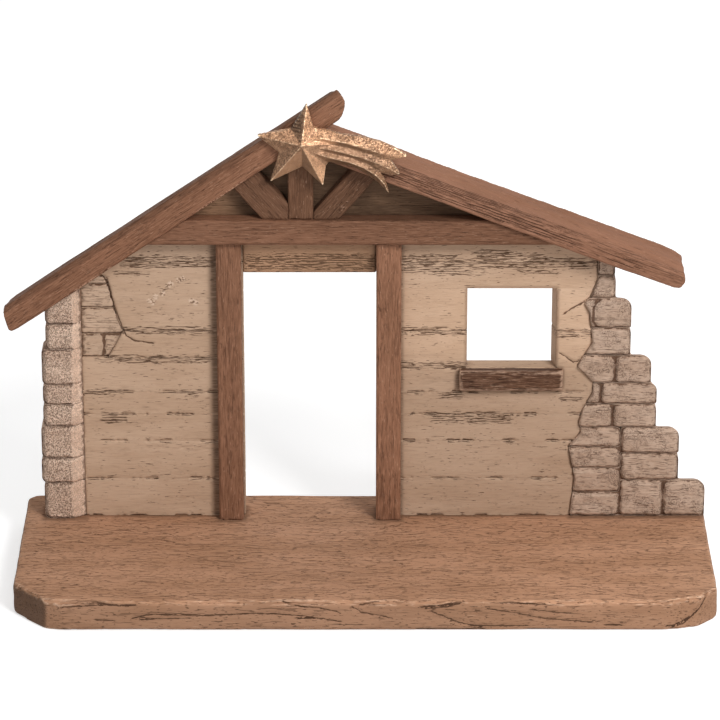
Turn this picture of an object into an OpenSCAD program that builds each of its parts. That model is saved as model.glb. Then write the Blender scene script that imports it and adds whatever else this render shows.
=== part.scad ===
// Tabletop nativity stable: a timber truss roof over board walls, with a stone pier on the
// left, broken masonry on the right and a comet star at the ridge.
// X runs right, Y runs back and Z runs up. The origin is the centre of the base's underside.

/* [Base board] */
// Width of the base board
base_w = 300; // [285:5:340]
// Depth of the base board
base_d = 108; // [98:2:130]
// Thickness of the base board
base_t = 14; // [8:1:20]
// Length of the carved front corners along the sides
corner_cut = 17; // [10:1:22]
// Clip at the two back corners
back_clip = 4; // [2:0.5:8]
// Worn edge round the base board
base_wear = 1.2; // [0.6:0.2:3]

/* [Wall] */
// Distance from the back of the wall to the back edge of the base
wall_setback = 13; // [6:1:20]
// Thickness of the wall boards
board_t = 9.5; // [7:0.5:12]
// Depth of the groove between two boards
groove = 0.5; // [0.3:0.1:1.4]
// Clear width of the doorway
door_w = 57.4; // [48:0.2:62]
// Height of the board over the doorway
header_h = 16; // [10:1:30]
// Place of the doorway's left jamb, left of the base's middle
door_left = 52.5; // [44:0.5:58]
// Width of the window
window_w = 38.5; // [28:0.5:41]
// Height of the window
window_h = 37.3; // [28:0.1:42]
// Height of the window's lower edge above the base board
window_z = 70.6; // [60:0.2:74]
// Least width of board between the window and what stands beside it
window_margin = 6.5; // [4:0.5:8]
// Flare of the window's right jamb
window_flare = 1.8; // [0.6:0.2:3]

/* [Timber frame] */
// Width of each doorpost
post_w = 10.8; // [8:0.2:14]
// How far the doorposts stand proud of the boards
post_proud = 5; // [3:0.5:6]
// Reveal of board left beside each doorpost
post_reveal = 0.6; // [0:0.1:2]
// Height of the tie beam's underside above the base board
tie_z = 131; // [126:1:138]
// Height of the tie beam
tie_h = 11; // [8:0.5:14]
// How far the tie beam stands proud of the boards
tie_proud = 8.5; // [7:0.5:10]
// Width of the king post
king_w = 10.8; // [8:0.2:14]
// Shift of the king post to the right of the ridge
king_shift = 2.4; // [0:0.2:4]
// How far the king post and braces stand proud of the boards
king_proud = 6.5; // [4:0.5:7]
// Width of the left brace
left_brace_w = 13; // [9:0.5:14]
// Width of the right brace
right_brace_w = 10.4; // [8:0.2:13]
// Distance from the king post to the middle of the left brace, along the tie beam
left_brace_step = 2.4; // [1:0.2:4]
// Distance from the king post to the middle of the right brace, along the tie beam
right_brace_step = 4.2; // [1:0.2:6]
// Rise of the left brace, in degrees
left_brace_angle = 49; // [42:1:56]
// Rise of the right brace, in degrees
right_brace_angle = 50; // [42:1:56]
// Eased edges of the timbers
timber_ease = 0.8; // [0.4:0.1:1.6]

/* [Roof] */
// Height of the ridge soffit above the base board
ridge_z = 175; // [168:1:185]
// Distance of the ridge from the base's middle, to the left
ridge_left = 29.8; // [24:0.2:36]
// Pitch of the left rafter, in degrees
left_pitch = 34.4; // [31:0.2:37]
// Pitch of the right rafter, in degrees
right_pitch = 21.3; // [19:0.1:24]
// Depth of both rafters
rafter_d = 20.5; // [19.5:0.5:24]
// Height of the left rafter at its front face
left_rafter_h = 12; // [10:0.5:15]
// Height of the left rafter at the back
left_rafter_back_h = 7.8; // [6:0.1:10]
// Height of the right rafter at its front face
right_rafter_h = 7.5; // [6:0.5:10]
// Height of the right rafter at the back
right_rafter_back_h = 10.4; // [8:0.1:13]
// Length of the left rafter past the ridge
left_tip = 30.6; // [26:0.2:34]
// Overhang of the left eave past the pier
left_overhang = 10.5; // [6:0.5:16]
// Overhang of the right eave past the masonry's top
right_overhang = 28; // [20:1:34]
// Slant of the left eave's end across its depth
eave_slant = 7.5; // [3:0.5:10]
// Slant of the left rafter's tip across its depth
tip_slant = 6.5; // [3:0.5:9]

/* [Window sill] */
// Length of the sill
sill_w = 45; // [41:0.5:50]
// Height of the sill
sill_h = 9.3; // [7:0.1:12]
// How far the sill stands proud of the boards
sill_proud = 4; // [2.5:0.5:6]

/* [Stonework] */
// Inset of the pier from the base's left edge
pier_inset = 8.4; // [6:0.2:14]
// Width of the pier where it meets the boards
pier_w = 18.8; // [15:0.2:22]
// How far the pier stands proud of the boards
pier_proud = 4; // [2.5:0.5:6]
// Width of the pier's slanted inner face at its foot
pier_slant = 6.2; // [3:0.2:8]
// Inset of the masonry's foot from the base's right edge
rubble_inset = 0.5; // [0.5:0.5:4]
// Width of the masonry at its foot
rubble_w = 54.5; // [50:0.5:58]
// How far the masonry stands proud of the boards
rubble_proud = 1.8; // [1:0.2:3]
// How far the bricks behind the broken plaster lie back from the boards
brick_recess = 1; // [0.4:0.2:2]
// Width of the broken patch beside the pier
patch_w = 18.2; // [14:0.2:22]
// Rounding of the stones' edges
stone_ease = 1.8; // [1:0.1:2.2]
// Rounding of the masonry's free corners
stone_round = 4.2; // [2:0.2:4.4]
// Width of the mortar joint between two bricks of a row
mortar = 0.9; // [0.5:0.1:1.4]
// Fall of the masonry's free tops towards the back
stone_fall = 3.6; // [1:0.2:4.4]

/* [Comet star] */
// Radius of the star's points
star_r = 19.5; // [16:0.5:22]
// Height of the star's middle above its back
star_h = 8; // [6:0.5:10]
// Thickness of the ornament at its rim
rim_t = 2.4; // [1.6:0.2:3.4]
// Length of the comet's tail
tail_len = 44; // [36:1:50]
// Height of the tail's crests above its back
crest_h = 5.6; // [4:0.2:7]

/* [Hidden] */
left_rows = 9;
low_rows = 5;
side_rows = 2;
high_rows = 2;
gable_rows = 3;
pier_rows = 8;
brick_rows = 4;
rubble_rows = 11;

function numbered(name, n) = [for (i = [1:n]) str(name, "_", i)];

// Cuts run this far past the faces that they open
overrun = 2;

// Planes across the depth
wall_back = base_d / 2 - wall_setback;
wall_front = wall_back - board_t;
post_front = wall_front - post_proud;
king_front = wall_front - king_proud;
tie_front = wall_front - tie_proud;
rafter_front = wall_back - rafter_d;
pier_front = wall_front - pier_proud;
rubble_front = wall_front - rubble_proud;
brick_front = wall_front + brick_recess;

// Places along the front
ridge_x = -ridge_left;
door_x0 = -door_left;
door_x1 = door_x0 + door_w;
pier_x0 = -base_w / 2 + pier_inset;
pier_x1 = pier_x0 + pier_w;
rubble_x1 = base_w / 2 - rubble_inset;
rubble_x0 = rubble_x1 - rubble_w;
right_post_x1 = door_x1 + post_w;
window_place_share = 0.793;
window_spare = rubble_x0 - right_post_x1 - window_w - 2 * window_margin;
window_x0 = right_post_x1 + window_margin + window_spare * window_place_share;
window_x1 = window_x0 + window_w;
window_mid = (window_x0 + window_x1) / 2;
king_x0 = ridge_x + king_shift - king_w / 2;
king_x1 = king_x0 + king_w;

// Heights from the underside of the base
ridge_top = base_t + ridge_z;
tie_z0 = base_t + tie_z;
tie_z1 = tie_z0 + tie_h;
window_z0 = base_t + window_z;
window_z1 = window_z0 + window_h;

// Height of the rafters' undersides at a place along the front
function left_soffit(x) = ridge_top + (x - ridge_x) * tan(left_pitch);
function right_soffit(x) = ridge_top - (x - ridge_x) * tan(right_pitch);

// A height between two levels, by its share
function between(low, high, share) = low + (high - low) * share;

// Levels of the board joints, as shares of the height that the boards cover
left_row_shares = [0, 0.137, 0.275, 0.372, 0.453, 0.576, 0.672, 0.793, 0.916, 1];
low_row_shares = [0, 0.255, 0.51, 0.691, 0.84, 1];
side_row_shares = [0, 0.466, 1];
high_row_shares = [0, 0.524, 1];
gable_row_shares = [0, 0.34, 0.66, 1];
function left_row_z(i) = between(base_t, tie_z0, left_row_shares[i]);
function low_row_z(i) = between(base_t, window_z0, low_row_shares[i]);
function side_row_z(i) = between(window_z0, window_z1, side_row_shares[i]);
function high_row_z(i) = between(window_z1, tie_z0, high_row_shares[i]);
function gable_row_z(i) = between(tie_z0, ridge_top, gable_row_shares[i]);

// Levels of the stone courses, as shares of the height under the rafter above them. The last
// stone of a stack runs on past its rafter, which cuts it. The pier's stones also step in at
// its outer side, by shares of their rounding.
pier_row_shares = [0, 0.174, 0.294, 0.448, 0.553, 0.648, 0.815, 0.938, 1.25];
pier_step_shares = [0.5, 0, 0.14, 0.78, 0.86, 0.78, 1.9, 1.9];
pier_narrow_share = 0.55;
rubble_row_shares = [0, 0.095, 0.19, 0.273, 0.35, 0.442, 0.524, 0.632, 0.738, 0.852, 0.939, 1.12];
brick_row_shares = [0, 0.3, 0.637, 0.944, 1.3];
pier_top = left_soffit(pier_x0);
rubble_top_share = 0.23;
rubble_top_x = rubble_x0 + rubble_w * rubble_top_share;
rubble_top = right_soffit(rubble_top_x);
patch_row = 5;
patch_z0 = left_row_z(patch_row);
patch_top = left_soffit(pier_x1);
function pier_z(i) = between(base_t, pier_top, pier_row_shares[i]);
function rubble_z(i) = between(base_t, rubble_top, rubble_row_shares[i]);
function brick_z(i) = between(patch_z0, patch_top, brick_row_shares[i]);

// Edge of the broken plaster beside the pier, as shares of the patch
patch_edge_shares = [[0.33, 2], [0.33, 1.12], [0.65, 1.05], [0.76, 0.79], [0.88, 0.5], [1, 0.35],
    [0.82, 0.17], [0.63, 0]];
patch_edge = [for (s = patch_edge_shares)
    [pier_x1 + s[0] * patch_w, between(patch_z0, patch_top, s[1])]];

// Edge of the broken plaster beside the masonry: sideways as shares of the masonry's width,
// upwards as shares of its height
rubble_edge_shares = [[-0.09, -0.1], [-0.09, 0], [-0.055, 0.15], [-0.11, 0.275], [-0.01, 0.33],
    [-0.03, 0.37], [0, 0.42], [0.08, 0.49], [0.075, 0.53], [-0.05, 0.59], [-0.027, 0.61],
    [0.067, 0.68], [0.037, 0.795], [-0.005, 0.835], [0.042, 0.855], [0.095, 0.92], [0.1, 1.2]];
rubble_edge = [for (s = rubble_edge_shares)
    [rubble_x0 + s[0] * rubble_w, between(base_t, rubble_top, s[1])]];

// Stones of the masonry, from the foot up: course, left end, right end, first level, last
// level, the rounding of the upper right corner, and where the top comes free of the stones
// above it. The ends are shares of the masonry's width, the levels count courses, and a stone
// that starts at -0.3 runs under the plaster.
rubble_stone_shares = [
    [1, -0.3, 0.31, 0, 1, 0.3, 1], [1, 0.31, 0.66, 0, 1.5, 0.3, 1],
    [1, 0.66, 1, 0, 1.5, 1, 0.785],
    [2, -0.3, 0.31, 1, 2, 0.3, 1], [2, 0.31, 0.78, 1.5, 2.7, 0.7, 1],
    [3, -0.3, 0.31, 2, 3, 0.3, 1], [3, 0.31, 0.78, 2.7, 4, 1, 0.595],
    [4, -0.3, 0.31, 3, 4, 0.5, 1],
    [5, -0.3, 0.24, 4, 5, 0.3, 1], [5, 0.24, 0.59, 4, 5, 0.7, 1],
    [6, -0.3, 0.14, 5, 6, 0.3, 1], [6, 0.14, 0.59, 5, 6, 0.8, 0.545],
    [7, -0.3, 0.25, 6, 7, 0.4, 1], [7, 0.25, 0.54, 6, 7, 1, 0.375],
    [8, -0.3, 0.37, 7, 8, 0.6, 1],
    [9, -0.3, 0.37, 8, 9, 1, 0.245],
    [10, -0.3, 0.24, 9, 10, 0.7, 1],
    [11, -0.3, 0.232, 10, 11, 0.3, 1]
];

// Slopes of the two soffits, as unit vectors to the eave and out of the roof
left_len = (ridge_x - pier_x0 + left_overhang) / cos(left_pitch);
right_len = (rubble_top_x + right_overhang - ridge_x) / cos(right_pitch);

// Carved ends of the rafters, as shares of their heights
left_tip_shares = [[0.62, 0], [0.42, 0.08], [0.22, 0.25], [0.04, 0.48], [0, 0.9], [0.08, 1]];
left_eave_shares = [[-0.4, 1], [-0.22, 0.84], [0, 0.19], [-0.06, 0.05], [-0.22, 0]];
right_eave_shares = [[-1.1, 1], [-0.6, 0.96], [-0.18, 0.84], [0, 0.4], [-0.05, 0.14], [-0.3, 0]];

// Plan of the base's carved front corners, as shares of the corner's length
left_corner_shares = [[0, 1], [0.85, 0.12], [1.26, 0]];
right_corner_shares = [[1.36, 0], [0.5, 0.24], [0, 0.76]];
left_corner = [for (s = left_corner_shares)
    [-base_w / 2 + s[0] * corner_cut, -base_d / 2 + s[1] * corner_cut]];
right_corner = [for (s = right_corner_shares)
    [base_w / 2 - s[0] * corner_cut, -base_d / 2 + s[1] * corner_cut]];
base_plan = concat(left_corner, right_corner, [
    [base_w / 2, base_d / 2 - back_clip], [base_w / 2 - back_clip, base_d / 2],
    [-base_w / 2 + back_clip, base_d / 2], [-base_w / 2, base_d / 2 - back_clip]
]);

// Comet star: the middle of the star, and its points and hollows as shares of its radius,
// from the top point round to the left
star_place_share = [0.16, 0.25];
star_x = ridge_x + star_r * star_place_share[0];
star_z = ridge_top + star_r * star_place_share[1];
star_rim_shares = [
    [0.11, 0.86], [-0.23, 0.29], [-0.96, 0.14], [-0.49, -0.25], [-0.69, -0.92],
    [0.01, -0.57], [0.46, -1.01], [0.52, -0.55], [0.90, -0.05], [0.25, 0.34]
];

// The three streams of the comet's tail, each as stations from the star to its tip. A station
// is the place and the level of the crest and how far the stream reaches over and under it,
// in shares of the tail's length from the star's middle.
stream_shares = [
    [[0.045, 0.045, 0.068, 0.068], [0.205, 0.055, 0.068, 0.091], [0.386, 0.018, 0.055, 0.091],
     [0.568, -0.036, 0.086, 0.102], [0.75, -0.1, 0.1, 0.091], [0.886, -0.134, 0.073, 0.05],
     [1, -0.145, 0.009, 0.009]],
    [[0.136, -0.034, 0.068, 0.068], [0.341, -0.073, 0.08, 0.08], [0.568, -0.141, 0.091, 0.091],
     [0.75, -0.218, 0.091, 0.095], [0.864, -0.277, 0.073, 0.064], [0.936, -0.323, 0.009, 0.009]],
    [[0.114, -0.091, 0.068, 0.091], [0.295, -0.145, 0.073, 0.068], [0.477, -0.195, 0.08, 0.055],
     [0.614, -0.259, 0.077, 0.066], [0.727, -0.341, 0.059, 0.073], [0.795, -0.423, 0.045, 0.055],
     [0.832, -0.509, 0.009, 0.009]]
];

// Stock laid along each axis between two planes
module along_x(x0, x1) {
    translate([x0, 0, 0]) rotate([90, 0, 90]) linear_extrude(x1 - x0) children();
}

module along_y(y0, y1) {
    translate([0, y1, 0]) rotate([90, 0, 0]) linear_extrude(y1 - y0) children();
}

module along_z(z0, z1) {
    translate([0, 0, z0]) linear_extrude(z1 - z0) children();
}

// A section whose two front edges are eased and whose back edges are square
function eased(a0, a1, front, back, ease) = [
    [a0, back], [a0, front + ease], [a0 + ease, front],
    [a1 - ease, front], [a1, front + ease], [a1, back]
];

// The same with both front edges rounded
function rounded(a0, a1, front, back, r, steps = 3) = concat(
    [[a0, back]],
    [for (i = [0:steps]) [a0 + r - r * cos(90 * i / steps), front + r - r * sin(90 * i / steps)]],
    [for (i = [0:steps]) [a1 - r + r * sin(90 * i / steps), front + r - r * cos(90 * i / steps)]],
    [[a1, back]]
);

// A box section with all four corners rounded
function worn(a0, a1, b0, b1, r, steps = 3) = [
    for (corner = [[a1 - r, b1 - r, 0], [a0 + r, b1 - r, 90], [a0 + r, b0 + r, 180],
                   [a1 - r, b0 + r, 270]], i = [0:steps])
        let (turn = corner[2] + 90 * i / steps)
        [corner[0] + r * cos(turn), corner[1] + r * sin(turn)]
];

// A front view with its upper right corner rounded
function soft_corner(x0, x1, z0, z1, r, steps = 4) = concat(
    [[x0, z1], [x0, z0], [x1, z0]],
    [for (i = [0:steps]) [x1 - r + r * cos(90 * i / steps), z1 - r + r * sin(90 * i / steps)]]
);

// Depth first and height second, for a section laid along X
function on_side(points) = [for (p = points) [p[1], p[0]]];

// The front view of all that lies under the two rafters
module under_roof() {
    polygon([
        [-base_w, 0], [base_w, 0], [base_w, right_soffit(base_w)],
        [ridge_x, ridge_top], [-base_w, left_soffit(-base_w)]
    ]);
}

// The front view of all that lies under the tie beam
module under_tie() {
    polygon([[-base_w, base_t], [base_w, base_t], [base_w, tie_z0], [-base_w, tie_z0]]);
}

// The front view of the left bay, which the broken patch cuts into above its lowest brick
module left_bay(beside_patch) {
    foot = beside_patch ? concat(patch_edge, [[patch_edge[len(patch_edge) - 1][0], base_t]])
                        : [[pier_x1, tie_z0], [pier_x1, base_t]];
    polygon(concat([[door_x0, base_t], [door_x0, patch_edge[0][1]]], foot));
}

// The front view of the broken patch
module broken_patch() {
    polygon(concat(patch_edge, [[pier_x1, patch_z0], [pier_x1, patch_edge[0][1]]]));
}

// The front view of the right bay, up to the broken edge of the plaster
module right_bay() {
    polygon(concat([[door_x1, rubble_edge[0][1]]], rubble_edge,
        [[door_x1, rubble_edge[len(rubble_edge) - 1][1]]]));
}

// The front view of the masonry, from the broken edge outwards
module masonry() {
    last = rubble_edge[len(rubble_edge) - 1][1];
    polygon(concat(rubble_edge, [[rubble_x1 + overrun, last], [rubble_x1 + overrun, rubble_edge[0][1]]]));
}

// One wall board between two levels, cut to the front view given as its child
module wall_board(z0, z1) {
    intersection() {
        along_y(wall_front, wall_back) intersection() {
            children();
            under_roof();
        }
        along_x(-base_w, base_w) polygon(on_side(eased(z0, z1, wall_front, wall_back, groove)));
    }
}

// The hole of the window, with its flared right jamb
module window_hole() {
    along_z(window_z0 - overrun, window_z1 + overrun) polygon([
        [window_x0, wall_front - overrun], [window_x1, wall_front - overrun],
        [window_x1, wall_front], [window_x1 - window_flare, wall_back],
        [window_x1 - window_flare, wall_back + overrun], [window_x0, wall_back + overrun]
    ]);
}

module base_board() {
    color("sienna") intersection() {
        along_z(0, base_t) polygon(base_plan);
        along_x(-base_w / 2, base_w / 2)
            polygon(worn(-base_d / 2, base_d / 2, 0, base_t, base_wear));
        along_y(-base_d / 2, base_d / 2)
            polygon(worn(-base_w / 2, base_w / 2, 0, base_t, base_wear));
    }
}

module left_board(i) {
    color("tan") wall_board(left_row_z(i - 1), left_row_z(i)) left_bay(i > patch_row);
}

module right_board(i) {
    color("tan") wall_board(low_row_z(i - 1), low_row_z(i)) right_bay();
}

module window_head_board(i) {
    color("tan") wall_board(high_row_z(i - 1), high_row_z(i)) right_bay();
}

// Half of the right bay beside the window: side -1 is left of it and 1 is right of it
module beside_window(i, side) {
    color("tan") difference() {
        intersection() {
            wall_board(side_row_z(i - 1), side_row_z(i)) right_bay();
            along_x(side < 0 ? door_x1 - overrun : window_mid, side < 0 ? window_mid : rubble_x1)
                polygon([[wall_front, base_t], [wall_back, base_t], [wall_back, tie_z0],
                         [wall_front, tie_z0]]);
        }
        window_hole();
    }
}

module window_left_board(i) {
    beside_window(i, -1);
}

module window_right_board(i) {
    beside_window(i, 1);
}

module gable_board(i) {
    color("saddlebrown") wall_board(gable_row_z(i - 1), gable_row_z(i)) under_roof();
}

module door_header() {
    color("tan") wall_board(tie_z0 - header_h, tie_z0)
        polygon([[door_x0, base_t], [door_x1, base_t], [door_x1, tie_z0], [door_x0, tie_z0]]);
}

// One doorpost, by its left side
module doorpost(x0) {
    color("sienna") along_z(base_t, tie_z0)
        polygon(rounded(x0, x0 + post_w, post_front, wall_front, timber_ease));
}

module left_post() {
    doorpost(door_x0 - post_reveal - post_w);
}

module right_post() {
    doorpost(door_x1);
}

module tie_beam() {
    color("sienna") intersection() {
        along_y(tie_front, wall_front) under_roof();
        along_x(-base_w, base_w)
            polygon(on_side(rounded(tie_z0, tie_z1, tie_front, wall_front, timber_ease)));
    }
}

module king_post() {
    color("sienna") intersection() {
        along_y(king_front, wall_front) under_roof();
        along_z(tie_z1, ridge_top)
            polygon(rounded(king_x0, king_x1, king_front, wall_front, timber_ease));
    }
}

// A brace that rises from the tie beam beside the king post: side -1 is left and 1 is right
module brace(side, width, step, angle) {
    foot = side < 0 ? king_x0 : king_x1;
    color("sienna") intersection() {
        along_y(king_front, wall_front) intersection() {
            under_roof();
            polygon([[foot, tie_z1], [foot + side * ridge_z, tie_z1],
                     [foot + side * ridge_z, ridge_top], [foot, ridge_top]]);
        }
        translate([foot + side * step, 0, tie_z1])
            rotate([0, side < 0 ? angle - 180 : -angle, 0]) along_x(-width, ridge_z)
                polygon(on_side(rounded(-width / 2, width / 2, king_front, wall_front,
                                        timber_ease)));
    }
}

module left_brace() {
    brace(-1, left_brace_w, left_brace_step, left_brace_angle);
}

module right_brace() {
    brace(1, right_brace_w, right_brace_step, right_brace_angle);
}

module window_sill() {
    sill_front = wall_front - sill_proud;
    x0 = window_mid - sill_w / 2;
    color("saddlebrown") intersection() {
        along_z(window_z0 - sill_h, window_z0)
            polygon(rounded(x0, x0 + sill_w, sill_front, wall_front, timber_ease));
        along_x(x0, x0 + sill_w)
            polygon(on_side(rounded(window_z0 - sill_h, window_z0, sill_front, wall_front,
                                    timber_ease)));
    }
}

// Section of a rafter across its depth, with its front edge eased. The top runs from its
// height at the front to its height at the back, and bends by the power given.
function rafter_section(front_h, back_h, power, steps = 6) = concat(
    [[wall_back, 0], [rafter_front + timber_ease, 0], [rafter_front, timber_ease],
     [rafter_front, front_h - timber_ease]],
    [for (i = [0:steps])
        let (s = i / steps, y = between(rafter_front + timber_ease, wall_back, s))
        [y, between(front_h, back_h, 1 - pow(1 - s, power))]]
);

module left_rafter() {
    tip = [for (s = left_tip_shares) [-left_tip + s[0] * left_rafter_h, s[1] * left_rafter_h]];
    eave = [for (s = left_eave_shares) [left_len + s[0] * left_rafter_h, s[1] * left_rafter_h]];
    color("sienna") translate([ridge_x, 0, ridge_top]) mirror([1, 0, 0]) rotate([0, left_pitch, 0])
        intersection() {
            along_y(rafter_front, wall_back) polygon(concat(tip, eave));
            along_x(-left_tip, left_len)
                polygon(rafter_section(left_rafter_h, left_rafter_back_h, 1));
            along_z(0, left_rafter_h) polygon([
                [-left_tip, rafter_front], [left_len, rafter_front],
                [left_len - eave_slant, wall_back], [-left_tip + tip_slant, wall_back]
            ]);
        }
}

module right_rafter() {
    meet = left_pitch + right_pitch;
    eave = [for (s = right_eave_shares)
        [right_len + s[0] * right_rafter_back_h, s[1] * right_rafter_back_h]];
    color("rosybrown") translate([ridge_x, 0, ridge_top]) rotate([0, right_pitch, 0])
        intersection() {
            along_y(rafter_front, wall_back) polygon(concat(
                [[0, 0], [right_rafter_back_h / tan(meet), right_rafter_back_h]], eave));
            along_x(0, right_len)
                polygon(rafter_section(right_rafter_h, right_rafter_back_h, 2));
        }
}

// One stone of the pier: its outer face is rounded and its inner face slants to the boards
module pier_stone(i) {
    z0 = pier_z(i - 1);
    z1 = pier_z(i);
    x0 = pier_x0 + pier_step_shares[i - 1] * stone_ease;
    slant = pier_slant * (1 - pier_narrow_share * (z0 + z1 - 2 * base_t) / (2 * pier_top));
    color("wheat") intersection() {
        along_y(pier_front, wall_back) intersection() {
            polygon(on_side(rounded(z0, z1, x0, pier_x1, stone_ease)));
            under_roof();
            under_tie();
        }
        along_x(x0, pier_x1)
            polygon(on_side(rounded(z0, z1, pier_front, wall_back, stone_ease / 2)));
        along_z(z0, z1) polygon([
            [x0, wall_back], [x0, pier_front + stone_ease], [x0 + stone_ease, pier_front],
            [pier_x1 - slant, pier_front], [pier_x1, wall_front], [pier_x1, wall_back]
        ]);
    }
}

module patch_brick(i) {
    z0 = brick_z(i - 1);
    z1 = brick_z(i);
    split_share = 0.56;
    split = pier_x1 + patch_w * split_share;
    joint_back = brick_front + mortar;
    color("wheat") difference() {
        intersection() {
            along_y(brick_front, wall_back) intersection() {
                broken_patch();
                under_roof();
                under_tie();
            }
            along_x(pier_x1, pier_x1 + patch_w)
                polygon(on_side(eased(z0, z1, brick_front, wall_back, groove)));
        }
        if (i == 1)
            along_z(z0 - overrun, z1 + overrun) polygon([
                [split - mortar / 2, brick_front - overrun],
                [split + mortar / 2, brick_front - overrun],
                [split + mortar / 2, joint_back], [split - mortar / 2, joint_back]
            ]);
    }
}

// Level of a course joint, also between two of them
function course_z(level) = between(rubble_z(floor(level)),
    rubble_z(min(floor(level) + 1, rubble_rows)), level - floor(level));

// The top of a free stone: it falls away to the back with its corner rounded all the way
module free_top(x0, x1, z1, r) {
    fall = atan(stone_fall / (wall_back - rubble_front - stone_ease));
    low = z1 - stone_fall - stone_round;
    difference() {
        along_x(x0, x1 + overrun) polygon([
            [rubble_front - overrun, low], [wall_back + overrun, low],
            [wall_back + overrun, z1 + overrun], [rubble_front - overrun, z1 + overrun]
        ]);
        translate([0, rubble_front + stone_ease, z1]) rotate([-fall, 0, 0])
            along_y(-base_d, base_d)
                polygon(soft_corner(x0 - overrun, x1, -base_d, 0, r));
    }
}

// One course of the masonry: its stones meet in joints that their rounded edges open
module rubble_course(i) {
    for (s = rubble_stone_shares) if (s[0] == i) {
        z0 = course_z(s[3]);
        z1 = course_z(s[4]);
        x0 = rubble_x0 + s[1] * rubble_w;
        x1 = rubble_x0 + s[2] * rubble_w;
        free_x = rubble_x0 + s[6] * rubble_w;
        color("wheat") difference() {
            intersection() {
                along_y(rubble_front, wall_back) intersection() {
                    masonry();
                    under_roof();
                    under_tie();
                    polygon(soft_corner(x0, x1, z0, z1, stone_round * s[5]));
                }
                along_x(x0, x1)
                    polygon(on_side(rounded(z0, z1, rubble_front, wall_back, stone_ease)));
                along_z(z0, z1)
                    polygon(rounded(x0, x1, rubble_front, wall_back, stone_ease));
            }
            if (free_x < x1) free_top(free_x, x1, z1, stone_round * s[5]);
        }
    }
}

// The star: a rim of points and hollows, and ridges that rise to its middle
module star() {
    turns = len(star_rim_shares);
    rim = [for (p = star_rim_shares) [star_x + p[0] * star_r, star_z + p[1] * star_r]];
    points = concat(
        [for (p = rim) [p[0], rafter_front, p[1]]],
        [for (p = rim) [p[0], rafter_front - rim_t, p[1]]],
        [[star_x, rafter_front, star_z], [star_x, rafter_front - star_h, star_z]]
    );
    faces = concat(
        [for (i = [0:turns - 1]) [2 * turns, i, (i + 1) % turns]],
        [for (i = [0:turns - 1]) [2 * turns + 1, turns + (i + 1) % turns, turns + i]],
        [for (i = [0:turns - 1]) [i, turns + i, turns + (i + 1) % turns, (i + 1) % turns]]
    );
    polyhedron(points, faces);
}

// Height of a stream's crest above its back: it falls away towards the tip
function stream_crest(share) = rim_t + (crest_h - rim_t) * (1 - pow(share, 3));

// One stream of the tail: a low ridge that follows its stations
module stream(stations) {
    sections = [for (s = stations)
        let (x = star_x + s[0] * tail_len, z = star_z + s[1] * tail_len,
             z0 = z - s[3] * tail_len, z1 = z + s[2] * tail_len)
        [[x, rafter_front, z0], [x, rafter_front, z1], [x, rafter_front - rim_t, z1],
         [x, rafter_front - stream_crest(s[0]), z], [x, rafter_front - rim_t, z0]]];
    sides = len(sections[0]);
    last = (len(sections) - 1) * sides;
    polyhedron(
        [for (section = sections) each section],
        concat(
            [[for (k = [0:sides - 1]) k]],
            [for (i = [0:len(sections) - 2], k = [0:sides - 1])
                let (a = i * sides + k, b = i * sides + (k + 1) % sides)
                [a, a + sides, b + sides, b]],
            [[for (k = [sides - 1:-1:0]) last + k]]
        )
    );
}

module comet_star() {
    color("goldenrod") union() {
        star();
        for (s = stream_shares) stream(s);
    }
}

base_board();
left_rafter();
right_rafter();
tie_beam();
king_post();
left_brace();
right_brace();
left_post();
right_post();
door_header();
window_sill();
comet_star();
for (i = [1:left_rows])
    left_board(i);
for (i = [1:low_rows])
    right_board(i);
for (i = [1:side_rows])
    window_left_board(i);
for (i = [1:side_rows])
    window_right_board(i);
for (i = [1:high_rows])
    window_head_board(i);
for (i = [1:gable_rows])
    gable_board(i);
for (i = [1:pier_rows])
    pier_stone(i);
for (i = [1:brick_rows])
    patch_brick(i);
for (i = [1:rubble_rows])
    rubble_course(i);
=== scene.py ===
import bpy
import bmesh
import math
import random
import numpy as np
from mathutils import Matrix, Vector


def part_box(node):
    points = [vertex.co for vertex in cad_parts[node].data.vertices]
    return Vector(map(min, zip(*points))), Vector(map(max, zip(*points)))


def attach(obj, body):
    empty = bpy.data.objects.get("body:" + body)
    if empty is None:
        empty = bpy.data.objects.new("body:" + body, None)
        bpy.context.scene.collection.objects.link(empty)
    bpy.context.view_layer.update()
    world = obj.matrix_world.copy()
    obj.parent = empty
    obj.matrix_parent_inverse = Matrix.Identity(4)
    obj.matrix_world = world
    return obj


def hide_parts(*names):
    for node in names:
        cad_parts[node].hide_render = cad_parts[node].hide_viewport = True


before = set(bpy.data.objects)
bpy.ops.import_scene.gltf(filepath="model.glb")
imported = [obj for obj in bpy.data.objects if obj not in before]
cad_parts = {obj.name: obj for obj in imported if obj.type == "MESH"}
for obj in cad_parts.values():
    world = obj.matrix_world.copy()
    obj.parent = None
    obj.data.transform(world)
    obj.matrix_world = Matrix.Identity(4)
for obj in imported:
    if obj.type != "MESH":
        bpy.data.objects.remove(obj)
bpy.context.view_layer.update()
scene = bpy.context.scene
mm = 0.001
print("stage: frame loaded, nodes:", len(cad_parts))


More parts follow.
